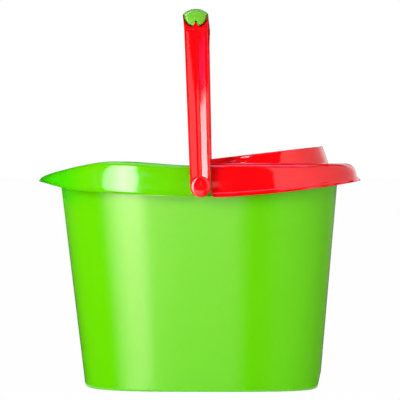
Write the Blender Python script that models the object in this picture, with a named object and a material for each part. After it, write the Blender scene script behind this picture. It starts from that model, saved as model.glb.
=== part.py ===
"""Household mop bucket: a moulded bucket, a clip-on wringer, a bail handle with a grip and two pins.

Metres, +Z up. The origin is on the ground under the middle of the bucket. +X points to the wringer
end and -X to the pouring lip. The bail turns about a line along Y near the top of the bucket.
"""

import math

import bmesh
import bpy
from mathutils import Matrix, Vector

# Bucket shell
RIM_HEIGHT = 0.259
MOUTH_LENGTH = 0.329
MOUTH_WIDTH = 0.222
MOUTH_SHIFT = -0.00105
BASE_LENGTH = 0.2765
BASE_WIDTH = 0.176
BASE_SHIFT = 0.00345
PLAN_POWER = 4.0
LIP_END_POWER = 3.2
WALL = 0.0022
FLOOR = 0.0024
FLOOR_FILLET = 0.010
FOOT_HEIGHT = 0.003
FOOT_WIDTH = 0.005
FOOT_ROUND = 0.002

# Tipping grip under the wringer end
GRIP_HEIGHT = 0.018
GRIP_DEPTH = 0.0055
GRIP_WIDTH = 0.130

# Collar round the mouth
COLLAR_DEPTH = 0.0353
OVERHANG_SIDE = 0.019
OVERHANG_END = 0.0255
WRINGER_OVERHANG = 0.0232
CREST_SHARE = 0.30
SHOULDER_SHARE = 0.84
FLARE_SHARE = 0.20
CREST_ROUND = 0.005
WRINGER_END_RISE = 0.0193
WRINGER_END_CURVE = 1.7
LIP_END_RISE = 0.011
LIP_END_CURVE = 1.4

# Wave of the rim and the pouring lip
RIM_SWELL = 0.0049
SWELL_REACH = 0.098
LIP_DROP = 0.0150
LIP_CURVE = 1.5
LIP_THICKNESS = 0.0030
LIP_NOSE = 0.0024
LIP_LIFT_START = 0.72
SPOUT_WIDTH = 0.110
SPOUT_DEPTH = 0.0115

# Pivot bosses and pins
PIVOT_X = 0.0028
PIVOT_DROP = 0.0236
BOSS_RADIUS = 0.0090
PIN_RADIUS = 0.0050
PIN_HEAD_RADIUS = 0.0115
PIN_HEAD_HEIGHT = 0.0032
PIN_HEAD_EDGE = 0.0008
PIN_LENGTH = 0.0250
PIN_TAPER = 0.0012
FIT = 0.0003

# Wringer
SKIRT_GAP = 0.0006
SKIRT_WALL = 0.0022
SKIRT_DROP = 0.0007
BEAD_HEIGHT = 0.0050
BEAD_PROUD = 0.0010
SKIRT_CORNER = 0.0060
STOP_GAP = 0.0006
EDGE_BACK = 0.0095
TONGUE_DEPTH = 0.0015
DIVIDER_DEPTH = 0.010
DIVIDER_CLEARANCE = 0.0030
HOOD_INSET = 0.0065
HOOD_LENGTH = 0.1521
HOOD_WIDTH = 0.198
HOOD_MARGIN = 0.0325
HOOD_LEAN_END = 0.0062
HOOD_LEAN = 0.0060
HOOD_LOW = 0.0042
HOOD_HIGH = 0.0205
HOOD_CREST = 0.0050
HOOD_ROUND = 0.0014
HOOD_POWER = 2.4
BASKET_POWER = 3.2
BASKET_DEPTH = 0.108
BASKET_FLOOR_LENGTH = 0.088
BASKET_FLOOR_WIDTH = 0.124
SLOT_COUNT = 20
SLOT_WIDTH = 0.0040
SLOT_TOP = 0.034
SLOT_BOTTOM = 0.014
FLOOR_SLOT_COUNT = 5
FLOOR_SLOT_LENGTH = 0.066
FLOOR_SLOT_PITCH = 0.010
CUT_PAST = 0.005

# Bail handle
BAIL_LEAN = math.radians(1.65)
SWING_GAP = 0.0006
ARM_DEPTH = 0.0115
EYE_RADIUS = 0.0115
ARM_TOP_WIDTH = 0.0262
BAR_WIDTH = 0.0285
ARM_RIB = 0.0030
POCKET_DEPTH = 0.0024
POCKET_TILT_LOW = math.radians(12)
POCKET_TILT_HIGH = math.radians(4.2)
ARM_WEB = 0.0030
BACK_POCKET_START = 0.0160
POCKET_END = 0.0180
GRIP_CORNER = 0.1930
TROUGH_WALL = 0.0032

# Grip insert and its keel
LENS_WIDTH = 0.0258
LENS_CROWN = 0.0057
LENS_BELLY = 0.0138
KEEL_WIDTH = 0.0052
KEEL_HEIGHT = 0.0045
KEEL_TIP = 0.0005
NOTCH_HEIGHT = 0.0062
GRIP_END_ROUND = 0.0030
GRIP_END_SHRINK = 0.19
GRIP_END_LOW = 0.0091

# Smoothness of the faceted solids
COLUMNS = 96
CORNER_CROWDING = 0.4
ARC_STEPS = 5
EDGE_STEPS = 3
ROUND_STEPS = 32
LENS_STEPS = 12
SHARP_ANGLE = math.radians(35)

# Heights and places that follow from the sizes above
PIVOT_HEIGHT = RIM_HEIGHT - PIVOT_DROP
LIP_HEIGHT = RIM_HEIGHT - LIP_DROP
COLLAR_BASE = RIM_HEIGHT - COLLAR_DEPTH
FLOOR_TOP = FOOT_HEIGHT + FLOOR
FLANGE_UNDER = RIM_HEIGHT + FIT
FLANGE_TOP = FLANGE_UNDER + SKIRT_WALL
SKIRT_START = PIVOT_X + EYE_RADIUS + STOP_GAP
EDGE_X = PIVOT_X - EDGE_BACK
HOOD_START = EDGE_X + HOOD_INSET
MOUTH_END = MOUTH_SHIFT + MOUTH_LENGTH / 2
FLANGE_REACH = max(WRINGER_OVERHANG, HOOD_START + HOOD_LENGTH + HOOD_MARGIN - MOUTH_END)

GREEN = (0.20, 0.62, 0.008, 1.0)
RED = (0.80, 0.004, 0.008, 1.0)
ROUGHNESS = 0.28


def mix(start, end, share):
    """Value a share of the way from start to end."""
    return start + (end - start) * share


def ease(share):
    """Smooth step from 0 to 1."""
    share = min(max(share, 0.0), 1.0)
    return share * share * (3 - 2 * share)


def plan_angles():
    """Angles round the plan, closer together at the corners than along the sides."""
    angles = []
    for index in range(COLUMNS):
        turn = 2 * math.pi * index / COLUMNS
        angles.append(turn + CORNER_CROWDING * math.sin(4 * turn) / 4)
    return angles


def rounded_oval(angle, half_length, half_width, power):
    """Point and outward normal of a rounded rectangle, at an angle taken on its unit square."""
    along = math.cos(angle)
    across = math.sin(angle)
    reach = (abs(along) ** power + abs(across) ** power) ** (-1 / power)
    point = Vector((half_length * reach * along, half_width * reach * across))
    slope_x = math.copysign(abs(reach * along) ** (power - 1), along) / half_length
    slope_y = math.copysign(abs(reach * across) ** (power - 1), across) / half_width
    return point, Vector((slope_x, slope_y)).normalized()


def wall_oval(angle, height):
    """Centre, point and normal of the wall's outer face at a height."""
    share = height / RIM_HEIGHT
    half_length = mix(BASE_LENGTH, MOUTH_LENGTH, share) / 2
    half_width = mix(BASE_WIDTH, MOUTH_WIDTH, share) / 2
    power = LIP_END_POWER if math.cos(angle) < 0 else PLAN_POWER
    point, normal = rounded_oval(angle, half_length, half_width, power)
    return mix(BASE_SHIFT, MOUTH_SHIFT, share), point, normal


def wall_point(angle, height, offset=0.0):
    """Point at a distance outside the wall's outer face."""
    centre, point, normal = wall_oval(angle, height)
    place = point + normal * offset
    return Vector((centre + place.x, place.y, height))


def half_width_at(height):
    """Half the outside width of the wall at a height, in the middle of the bucket."""
    return wall_point(math.pi / 2, height).y


TIP_REACH = -wall_point(math.pi, LIP_HEIGHT, OVERHANG_END).x
END_REACH = wall_point(0.0, COLLAR_BASE + WRINGER_END_RISE, FLANGE_REACH).x
ARM_INNER = half_width_at(COLLAR_BASE) + OVERHANG_SIDE + SWING_GAP
ARM_OUTER = ARM_INNER + ARM_DEPTH


def rim_height(x):
    """Height of the rim's crest: level over the wringer end, a swell, then the fall to the lip."""
    start = EDGE_X - STOP_GAP
    if x >= start:
        return RIM_HEIGHT
    swell = RIM_SWELL * ease((start - x) / (start + SWELL_REACH))
    share = min(max((-x - SWELL_REACH) / (TIP_REACH - SWELL_REACH), 0.0), 1.0)
    return RIM_HEIGHT + swell - (RIM_SWELL + LIP_DROP) * share ** LIP_CURVE


def wringer_end_edge(x):
    """Height of the collar's lower edge towards the wringer end."""
    return COLLAR_BASE + WRINGER_END_RISE * (abs(x) / END_REACH) ** WRINGER_END_CURVE


def collar_edge(x):
    """Height of the collar's lower edge, which sweeps up towards both ends."""
    if x >= 0:
        return wringer_end_edge(x)
    share = -x / TIP_REACH
    lift = LIP_HEIGHT - LIP_THICKNESS - COLLAR_BASE - LIP_END_RISE
    lip = ease((share - LIP_LIFT_START) / (1 - LIP_LIFT_START))
    return COLLAR_BASE + LIP_END_RISE * share ** LIP_END_CURVE + lift * lip


def overhang(angle):
    """Distance from the wall to the collar's lower edge, longer at the ends than at the sides."""
    normal = wall_oval(angle, RIM_HEIGHT)[2]
    end = OVERHANG_END if normal.x < 0 else FLANGE_REACH
    return OVERHANG_SIDE * normal.y ** 2 + end * normal.x ** 2


def shoulder_arc(reach, edge, crest, grow_out, grow_up):
    """Quarter oval from the collar's flare up to its crest, grown outwards and upwards."""
    start = edge + FLARE_SHARE * (crest - edge)
    arc = []
    for step in range(ARC_STEPS + 1):
        turn = math.pi / 2 * step / ARC_STEPS
        offset = CREST_SHARE * reach
        offset += ((SHOULDER_SHARE - CREST_SHARE) * reach + grow_out) * math.cos(turn)
        arc.append((offset, start + (crest - start + grow_up) * math.sin(turn)))
    return arc


def collar_section(angle):
    """Offsets and heights of the collar, from the wall's outer face over the crest to its inner one."""
    reach = overhang(angle)
    crest = rim_height(wall_point(angle, RIM_HEIGHT, CREST_SHARE * reach).x)
    edge = collar_edge(wall_point(angle, COLLAR_BASE, reach).x)
    section = [(0.0, crest - 2 * WALL)]
    section += reversed(shoulder_arc(reach, edge, crest, -WALL, -WALL))
    section += [(reach - WALL, edge), (reach, edge)]
    section += shoulder_arc(reach, edge, crest, 0.0, 0.0)
    for step in range(EDGE_STEPS + 1):
        turn = math.pi / 2 * step / EDGE_STEPS
        section.append((-WALL * math.sin(turn), crest - CREST_ROUND * (1 - math.cos(turn))))
    return section


def spout_section():
    """The same points where the wall flares out into the middle of the pouring lip."""
    throat = LIP_HEIGHT - SPOUT_DEPTH
    under_tip = LIP_HEIGHT - LIP_THICKNESS
    reach = OVERHANG_END

    def ramp(share, lift):
        return share * reach, mix(throat, under_tip, share) + lift

    under_count = ARC_STEPS + 3
    section = [(0.0, throat - WALL)]
    for step in range(1, under_count):
        section.append(ramp(step / under_count, 0.0))
    section.append((reach, under_tip))
    for step in range(ARC_STEPS + 1):
        turn = math.pi / 2 * step / ARC_STEPS
        inset = LIP_NOSE * (1 - math.cos(turn))
        section.append((reach - inset, LIP_HEIGHT - LIP_NOSE * (1 - math.sin(turn))))
    for step in range(EDGE_STEPS):
        section.append(ramp(1 - (step + 1) / (EDGE_STEPS + 1), LIP_THICKNESS))
    section.append((-WALL, throat - WALL))
    return section


def spout_share(angle):
    """How far a plan angle lies in the pouring lip, from 0 outside to 1 in the middle."""
    place = wall_point(angle, RIM_HEIGHT)
    return 0.0 if place.x > 0 else 1 - ease(abs(place.y) / (SPOUT_WIDTH / 2))


def tipping_recess(angle, height):
    """Depth of the tipping grip under the wringer end."""
    place = wall_point(angle, 0.0)
    if place.x < 0 or height > GRIP_HEIGHT:
        return 0.0
    return GRIP_DEPTH * (1 - height / GRIP_HEIGHT) * (1 - ease(abs(place.y) / (GRIP_WIDTH / 2)))


def bucket_section(angle):
    """Whole wall section at a plan angle, from under the floor round the outside to the floor's top."""
    foot_inner = FOOT_ROUND + FOOT_WIDTH
    section = [(-foot_inner - FOOT_ROUND, FOOT_HEIGHT), (-foot_inner, 0.0)]
    for step in range(EDGE_STEPS + 1):
        turn = math.pi / 2 * step / EDGE_STEPS
        section.append((-FOOT_ROUND * (1 - math.sin(turn)), FOOT_ROUND * (1 - math.cos(turn))))
    section.append((0.0, GRIP_HEIGHT))
    share = spout_share(angle)
    for plain, lip in zip(collar_section(angle), spout_section()):
        section.append((mix(plain[0], lip[0], share), mix(plain[1], lip[1], share)))
    for step in range(EDGE_STEPS + 1):
        turn = math.pi / 2 * step / EDGE_STEPS
        inset = WALL + FLOOR_FILLET * (1 - math.cos(turn))
        section.append((-inset, FLOOR_TOP + FLOOR_FILLET * (1 - math.sin(turn))))
    return section


def loft(rings):
    """Closed skin through rings of equal count, with a flat cap over the first and the last."""
    shape = bmesh.new()
    loops = [[shape.verts.new(point) for point in ring] for ring in rings]
    count = len(rings[0])
    for lower, upper in zip(loops, loops[1:]):
        for index in range(count):
            after = (index + 1) % count
            shape.faces.new((lower[index], lower[after], upper[after], upper[index]))
    shape.faces.new(reversed(loops[0]))
    shape.faces.new(loops[-1])
    return shape


def prism(outline, start, end):
    """Solid with an outline of (x, z) points, run along Y from start to end."""
    shape = bmesh.new()
    front = [shape.verts.new((x, start, z)) for x, z in outline]
    back = [shape.verts.new((x, end, z)) for x, z in outline]
    count = len(outline)
    for index in range(count):
        after = (index + 1) % count
        shape.faces.new((front[index], front[after], back[after], back[index]))
    shape.faces.new(reversed(front))
    shape.faces.new(back)
    bmesh.ops.recalc_face_normals(shape, faces=shape.faces)
    return shape


def turned(profile, place):
    """Solid turned about a line along +Y through a place, from (radius, y) points between two ends."""
    shape = bmesh.new()
    rings = []
    for radius, along in profile:
        ring = []
        for index in range(ROUND_STEPS):
            turn = 2 * math.pi * index / ROUND_STEPS
            ring.append(shape.verts.new((radius * math.cos(turn), along, radius * math.sin(turn))))
        rings.append(ring)
    for lower, upper in zip(rings, rings[1:]):
        for index in range(ROUND_STEPS):
            after = (index + 1) % ROUND_STEPS
            shape.faces.new((lower[index], lower[after], upper[after], upper[index]))
    shape.faces.new(rings[0])
    shape.faces.new(rings[-1])
    bmesh.ops.recalc_face_normals(shape, faces=shape.faces)
    bmesh.ops.translate(shape, verts=shape.verts, vec=place)
    return shape


def gather(shapes):
    """One mesh that holds several separate solids."""
    whole = bmesh.new()
    for shape in shapes:
        piece = bpy.data.meshes.new("piece")
        shape.to_mesh(piece)
        shape.free()
        whole.from_mesh(piece)
        bpy.data.meshes.remove(piece)
    return whole


def plastic(name, colour):
    """Glossy moulded plastic in one colour."""
    material = bpy.data.materials.new(name)
    material.use_nodes = True
    shader = material.node_tree.nodes["Principled BSDF"]
    shader.inputs["Base Color"].default_value = colour
    shader.inputs["Roughness"].default_value = ROUGHNESS
    shader.inputs["Metallic"].default_value = 0.0
    return material


def add_piece(name, shape, colour, parent=None):
    """Object of one moulded piece with its own material."""
    mesh = bpy.data.meshes.new(name)
    shape.to_mesh(mesh)
    shape.free()
    mesh.shade_smooth()
    mesh.set_sharp_from_angle(angle=SHARP_ANGLE)
    mesh.materials.append(plastic(name + "_plastic", colour))
    piece = bpy.data.objects.new(name, mesh)
    piece.parent = parent
    bpy.context.collection.objects.link(piece)
    return piece


def apply_tool(piece, name, shape, operation):
    """Join or cut a piece with a hidden tool shape that shares its parent."""
    mesh = bpy.data.meshes.new(name)
    shape.to_mesh(mesh)
    shape.free()
    tool = bpy.data.objects.new(name, mesh)
    tool.parent = piece.parent
    tool.hide_render = True
    tool.display_type = "WIRE"
    bpy.context.collection.objects.link(tool)
    step = piece.modifiers.new(name, "BOOLEAN")
    step.operation = operation
    step.solver = "EXACT"
    step.object = tool


def both_sides(make):
    """The shapes that a function makes for the front, side -1, and for the back, side 1."""
    return gather([make(-1), make(1)])


def make_bucket():
    """Bucket shell with its collar, pouring lip and pivot bosses."""
    angles = plan_angles()
    columns = []
    for angle in angles:
        column = []
        for offset, height in bucket_section(angle):
            inset = tipping_recess(angle, height)
            column.append(wall_point(angle, height, offset - inset))
        columns.append(column)
    bucket = add_piece("bucket_body", loft(list(zip(*columns))), GREEN)

    boss_root = half_width_at(PIVOT_HEIGHT) - WALL / 2
    boss_face = ARM_INNER - FIT
    bore_end = ARM_OUTER + FIT - PIN_LENGTH - FIT
    place = Vector((PIVOT_X, 0.0, PIVOT_HEIGHT))

    def boss(side):
        return turned([(BOSS_RADIUS, side * boss_root), (BOSS_RADIUS, side * boss_face)], place)

    def bore(side):
        radius = PIN_RADIUS + FIT
        return turned([(radius, side * bore_end), (radius, side * ARM_OUTER)], place)

    apply_tool(bucket, "boss_shape", both_sides(boss), "UNION")
    apply_tool(bucket, "boss_bore", both_sides(bore), "DIFFERENCE")


def hood_ring(grow, height=None, top_share=0.0, crest_drop=0.0):
    """Ring of the hood, from its base at share 0 to its sloping top at share 1."""
    half_length = HOOD_LENGTH / 2 + grow
    half_width = HOOD_WIDTH / 2 + grow
    start = HOOD_START - grow
    shrink = mix(0.0, HOOD_LEAN + HOOD_LEAN_END, top_share) / 2
    half_length -= shrink
    half_width -= HOOD_LEAN * top_share
    centre = start + mix(0.0, HOOD_LEAN, top_share) + half_length
    ring = []
    for angle in plan_angles():
        point, _ = rounded_oval(angle, half_length, half_width, HOOD_POWER)
        if height is None:
            share = (point.x + half_length) / (2 * half_length)
            level = FLANGE_TOP + mix(HOOD_LOW, HOOD_HIGH, share) - crest_drop
        else:
            level = height
        ring.append(Vector((centre + point.x, point.y, level)))
    return ring


def basket_centre():
    """Middle of the basket along the bucket."""
    half_length = HOOD_LENGTH / 2 - (HOOD_LEAN + HOOD_LEAN_END) / 2
    return HOOD_START + HOOD_LEAN + half_length


def basket_oval(angle, share, grow):
    """Point and normal on the basket's inner face, from its floor at share 0 to its mouth at 1."""
    mouth_length = HOOD_LENGTH - HOOD_LEAN - HOOD_LEAN_END - 2 * HOOD_CREST
    mouth_width = HOOD_WIDTH - 2 * HOOD_LEAN - 2 * HOOD_CREST
    half_length = mix(BASKET_FLOOR_LENGTH, mouth_length, share) / 2 + grow
    half_width = mix(BASKET_FLOOR_WIDTH, mouth_width, share) / 2 + grow
    power = mix(BASKET_POWER, HOOD_POWER, share)
    return rounded_oval(angle, half_length, half_width, power)


def basket_ring(share, height, grow):
    """Ring of the basket's wall at a height."""
    ring = []
    for angle in plan_angles():
        point = basket_oval(angle, share, grow)[0]
        ring.append(Vector((basket_centre() + point.x, point.y, height)))
    return ring


def basket_mouth(grow, drop):
    """Ring where the basket's wall meets the hood's sloping crest."""
    half_length = HOOD_LENGTH / 2 - (HOOD_LEAN + HOOD_LEAN_END) / 2
    ring = []
    for angle in plan_angles():
        point = basket_oval(angle, 1.0, grow)[0]
        share = (point.x + half_length) / (2 * half_length)
        level = FLANGE_TOP + mix(HOOD_LOW, HOOD_HIGH, share) - drop
        ring.append(Vector((basket_centre() + point.x, point.y, level)))
    return ring


def skirt_rings():
    """Rings of the skirt over the collar, from the flange's underside round the edge to its top."""
    columns = []
    for angle in plan_angles():
        reach = overhang(angle)
        edge = wringer_end_edge(wall_point(angle, COLLAR_BASE, reach).x)
        inner = shoulder_arc(reach, edge, RIM_HEIGHT, SKIRT_GAP, FIT)
        outer_gap = SKIRT_GAP + SKIRT_WALL
        outer = shoulder_arc(reach, edge, RIM_HEIGHT, outer_gap, FIT + SKIRT_WALL)
        low = edge - SKIRT_DROP
        section = [(0.0, FLANGE_UNDER)]
        section += reversed(inner)
        section.append((reach + SKIRT_GAP, edge))
        section.append((reach + SKIRT_GAP, low))
        section.append((reach + outer_gap + BEAD_PROUD, low))
        section.append((reach + outer_gap + BEAD_PROUD, low + SKIRT_WALL))
        section.append((SHOULDER_SHARE * reach + outer_gap + BEAD_PROUD, low + BEAD_HEIGHT))
        section += outer
        column = []
        for offset, height in section:
            column.append(wall_point(angle, height, offset))
        columns.append(column)
    return [list(ring) for ring in zip(*columns)]


def make_wringer():
    """Wringer: skirt and flange over the bucket's end, raised hood and slotted basket."""
    floor_under = FLANGE_TOP - BASKET_DEPTH
    floor_top = floor_under + SKIRT_WALL
    corner = SKIRT_WALL / BASKET_DEPTH
    rings = [
        basket_ring(0.0, floor_under, 0.0),
        basket_ring(corner, floor_under + SKIRT_WALL, SKIRT_WALL),
        basket_mouth(SKIRT_WALL, SKIRT_WALL),
        hood_ring(-SKIRT_WALL, None, 1.0, SKIRT_WALL),
        hood_ring(-SKIRT_WALL, FLANGE_UNDER, 0.0),
    ]
    rings += skirt_rings()
    rings += [
        hood_ring(0.0, FLANGE_TOP, 0.0),
        hood_ring(0.0, None, 1.0, HOOD_ROUND),
        hood_ring(-HOOD_ROUND, None, 1.0),
        basket_mouth(HOOD_ROUND, 0.0),
        basket_mouth(0.0, HOOD_ROUND),
        basket_ring(corner, floor_top + SKIRT_WALL, 0.0),
        basket_ring(0.0, floor_top, -SKIRT_WALL),
    ]
    wringer = add_piece("wringer", loft(rings), RED)
    apply_tool(wringer, "open_end", open_end(), "DIFFERENCE")
    apply_tool(wringer, "arm_notches", both_sides(arm_notch), "DIFFERENCE")
    apply_tool(wringer, "divider_lip", divider_lip(), "UNION")
    apply_tool(wringer, "drain_slots", drain_slots(floor_under), "DIFFERENCE")


def open_end():
    """Space over the pouring end, which the wringer leaves open."""
    far = -2 * MOUTH_LENGTH
    above = FLANGE_TOP + HOOD_HIGH
    outline = [(far, 0.0), (EDGE_X, 0.0), (EDGE_X, above), (far, above)]
    return prism(outline, -MOUTH_WIDTH, MOUTH_WIDTH)


def divider_half():
    """Half the length of the divider's lip, clear of the bucket's walls."""
    return half_width_at(FLANGE_UNDER - DIVIDER_DEPTH) - WALL - DIVIDER_CLEARANCE


def arm_notch(side):
    """Notch in the skirt and flange on one side, in which the bail's arm swings."""
    low = wringer_end_edge(SKIRT_START) - SKIRT_DROP
    outline = [(EDGE_X - SKIRT_CORNER, low - SKIRT_CORNER), (SKIRT_START + SKIRT_CORNER, low - SKIRT_CORNER)]
    centre = (SKIRT_START + SKIRT_CORNER, low + SKIRT_CORNER)
    for step in range(ARC_STEPS + 1):
        turn = math.pi / 2 * step / ARC_STEPS
        x = centre[0] - SKIRT_CORNER * math.sin(turn)
        outline.append((x, centre[1] - SKIRT_CORNER * math.cos(turn)))
    tongue = RIM_HEIGHT - TONGUE_DEPTH
    outline += [(SKIRT_START, tongue), (EDGE_X - SKIRT_CORNER, tongue)]
    ends = sorted((side * divider_half(), side * MOUTH_WIDTH))
    return prism(outline, ends[0], ends[1])


def divider_lip():
    """Lip that stiffens the straight edge across the bucket's mouth."""
    top = FLANGE_TOP - FIT
    low = FLANGE_UNDER - DIVIDER_DEPTH
    start = EDGE_X + FIT
    outline = [(start, low), (start + SKIRT_WALL, low), (start + SKIRT_WALL, top), (start, top)]
    return prism(outline, -divider_half(), divider_half())


def drain_slots(floor_under):
    """Slots down the basket's wall and across its floor."""
    height = FLANGE_TOP - floor_under
    slots = []
    for index in range(SLOT_COUNT):
        angle = 2 * math.pi * (index + 0.5) / SLOT_COUNT
        ends = []
        for level in (SLOT_BOTTOM, height - SLOT_TOP):
            point, normal = basket_oval(angle, level / height, 0.0)
            side = Vector((-normal.y, normal.x)) * SLOT_WIDTH / 2
            for out in (-CUT_PAST, SKIRT_WALL + CUT_PAST):
                for way in (-1, 1):
                    place = point + normal * out + side * way
                    ends.append((basket_centre() + place.x, place.y, floor_under + level))
        slots.append(hexahedron(ends))
    for index in range(FLOOR_SLOT_COUNT):
        x = basket_centre() + (index - (FLOOR_SLOT_COUNT - 1) / 2) * FLOOR_SLOT_PITCH
        low = floor_under - CUT_PAST
        high = floor_under + SKIRT_WALL + CUT_PAST
        half = SLOT_WIDTH / 2
        outline = [(x - half, low), (x + half, low), (x + half, high), (x - half, high)]
        slots.append(prism(outline, -FLOOR_SLOT_LENGTH / 2, FLOOR_SLOT_LENGTH / 2))
    return gather(slots)


def hexahedron(corners):
    """Solid with eight corners, ordered low to high, then inside to outside, then side to side."""
    shape = bmesh.new()
    for corner in corners:
        shape.verts.new(corner)
    bmesh.ops.convex_hull(shape, input=shape.verts)
    bmesh.ops.recalc_face_normals(shape, faces=shape.faces)
    return shape


def lens_arc(half, height, rise, start, end):
    """Points on a shallow arc over a chord, between two shares of the half width."""
    radius = (half * half + rise * rise) / (2 * abs(rise))
    bow = math.copysign(1.0, rise)
    points = []
    for step in range(LENS_STEPS + 1):
        x = half * mix(start, end, step / LENS_STEPS)
        level = math.sqrt(radius * radius - x * x) - (radius - abs(rise))
        points.append((x, height + bow * level))
    return points


def trough_floor():
    """Inner outline of the top bar's trough from +X to -X, with the keel that holds the grip."""
    half = LENS_WIDTH / 2 + FIT
    share = KEEL_WIDTH / 2 / half
    right = lens_arc(half, GRIP_CORNER, -LENS_BELLY - FIT, 1.0, share)
    left = [(-x, z) for x, z in reversed(right)]
    tip = right[-1][1] + KEEL_HEIGHT
    return right + [(KEEL_TIP, tip), (-KEEL_TIP, tip)] + left


def make_bail():
    """Bail handle: two channel arms with eyes, and the trough of the top bar between them."""
    hub = bpy.data.objects.new("bail_axis", None)
    hub.location = (PIVOT_X, 0.0, PIVOT_HEIGHT)
    hub.rotation_euler = (0.0, -BAIL_LEAN, 0.0)
    bpy.context.collection.objects.link(hub)

    shoulder = GRIP_CORNER - POCKET_END
    arm = [(-ARM_TOP_WIDTH / 2, shoulder)]
    for step in range(ROUND_STEPS // 2 + 1):
        turn = math.pi * (1 + step / (ROUND_STEPS // 2))
        arm.append((EYE_RADIUS * math.cos(turn), EYE_RADIUS * math.sin(turn)))
    arm.append((ARM_TOP_WIDTH / 2, shoulder))
    inner = trough_floor()
    belly = LENS_BELLY + FIT + TROUGH_WALL
    outer = lens_arc(BAR_WIDTH / 2, GRIP_CORNER, -belly, 1.0, -1.0)

    shape = bmesh.new()

    def row(points, y):
        return [shape.verts.new((x, y, z)) for x, z in points]

    def strip(near, far):
        for index in range(len(near) - 1):
            shape.faces.new((near[index], near[index + 1], far[index + 1], far[index]))

    levels = (-ARM_OUTER, -ARM_INNER, ARM_INNER, ARM_OUTER)
    arms = [row(arm, y) for y in levels]
    outers = {y: row(outer, y) for y in levels[1:3]}
    corners = {y: row([outer[0], outer[-1]], y) for y in (levels[0], levels[3])}
    inners = [row(inner, y) for y in levels]
    rights = [corners[levels[0]][0], outers[levels[1]][0], outers[levels[2]][0], corners[levels[3]][0]]
    lefts = [corners[levels[0]][1], outers[levels[1]][-1], outers[levels[2]][-1], corners[levels[3]][1]]
    for front, back in ((0, 1), (2, 3)):
        strip(arms[front] + [rights[front]], arms[back] + [rights[back]])
        strip([lefts[front], arms[front][0]], [lefts[back], arms[back][0]])
    for front, back in ((0, 1), (1, 2), (2, 3)):
        near = [rights[front]] + inners[front] + [lefts[front]]
        strip(near, [rights[back]] + inners[back] + [lefts[back]])
    strip(outers[levels[1]], outers[levels[2]])
    for end in (0, 3):
        shape.faces.new(arms[end] + [rights[end]] + inners[end] + [lefts[end]])
    for end in (1, 2):
        shape.faces.new(arms[end] + outers[levels[end]])
    bmesh.ops.recalc_face_normals(shape, faces=shape.faces)
    bail = add_piece("bail_handle", shape, RED, hub)

    def hole(side):
        radius = PIN_RADIUS + FIT
        ends = [(radius, side * (ARM_INNER - FIT)), (radius, side * (ARM_OUTER + FIT))]
        return turned(ends, Vector((0.0, 0.0, 0.0)))

    apply_tool(bail, "eye_hole", both_sides(hole), "DIFFERENCE")
    apply_tool(bail, "arm_pockets", arm_pockets(), "DIFFERENCE")
    return hub


def pocket_solid(outline, depths, side):
    """Cutter over an outline of (x, z) points in an arm's outer face, with its own depth at each point."""
    shape = bmesh.new()
    floor = [shape.verts.new((x, side * (ARM_OUTER - deep), z)) for (x, z), deep in zip(outline, depths)]
    mouth = [shape.verts.new((x, side * (ARM_OUTER + FIT), z)) for x, z in outline]
    for index in range(len(outline)):
        after = (index + 1) % len(outline)
        shape.faces.new((floor[index], floor[after], mouth[after], mouth[index]))
    bottom = shape.faces.new(list(reversed(floor)))
    shape.faces.new(mouth)
    bmesh.ops.triangulate(shape, faces=[bottom])
    bmesh.ops.recalc_face_normals(shape, faces=shape.faces)
    return shape


def arm_pockets():
    """Shallow tilted pockets round the pin's head in the arms' outer faces, and deep ones behind the web."""
    top = GRIP_CORNER - POCKET_END
    seat = PIN_HEAD_RADIUS + FIT
    rib = ARM_RIB / 2
    back = ARM_DEPTH - POCKET_DEPTH - ARM_WEB

    def edge(level):
        return mix(EYE_RADIUS, ARM_TOP_WIDTH / 2, level / top) - ARM_RIB

    turns = [math.acos(min(reach / seat, 1.0)) for reach in (rib, edge(0.0))]
    front = []
    for step in range(EDGE_STEPS + 1):
        turn = mix(turns[0], turns[1], step / EDGE_STEPS)
        front.append((seat * math.cos(turn), seat * math.sin(turn)))
    front += [(edge(top), top), (rib, top)]
    depths = []
    for x, level in front:
        tilt = mix(POCKET_TILT_LOW, POCKET_TILT_HIGH, level / top)
        depths.append(POCKET_DEPTH - (x - rib) * math.tan(tilt))
    low = BACK_POCKET_START
    behind = [(rib, low), (edge(low), low), (edge(top), top), (rib, top)]
    pockets = []
    for side in (-1, 1):
        for way in (-1, 1):
            pockets.append(pocket_solid([(way * x, z) for x, z in front], depths, side))
            hollow = [(way * x, z) for x, z in behind]
            pockets.append(prism(hollow, side * (ARM_INNER - FIT), side * (ARM_INNER + back)))
    return gather(pockets)


def make_grip(hub):
    """Lens-section grip in the trough, notched over the keel, with rounded ends."""
    half = LENS_WIDTH / 2
    mouth = KEEL_WIDTH / 2 + FIT
    right = lens_arc(half, GRIP_CORNER, -LENS_BELLY, 1.0, mouth / half)
    left = [(-x, z) for x, z in reversed(right)]
    apex = right[-1][1] + NOTCH_HEIGHT
    crown = lens_arc(half, GRIP_CORNER, LENS_CROWN, -1.0, 1.0)
    notch = [(KEEL_TIP + FIT, apex), (-KEEL_TIP - FIT, apex)]
    outline = right + notch + left + crown[1:-1]
    end = ARM_OUTER - FIT
    centre = GRIP_CORNER - GRIP_END_LOW
    half_rings = []
    for step in range(EDGE_STEPS + 1):
        turn = math.pi / 2 * step / EDGE_STEPS
        y = end - GRIP_END_ROUND * (1 - math.cos(turn))
        scale = 1 - GRIP_END_SHRINK * (1 - math.sin(turn))
        half_rings.append((y, [(x * scale, centre + (z - centre) * scale) for x, z in outline]))
    rings = [[(x, -y, z) for x, z in ring] for y, ring in half_rings]
    rings += [[(x, y, z) for x, z in ring] for y, ring in reversed(half_rings)]
    shape = loft(rings)
    bmesh.ops.recalc_face_normals(shape, faces=shape.faces)
    add_piece("handle_grip", shape, GREEN, hub)


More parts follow.
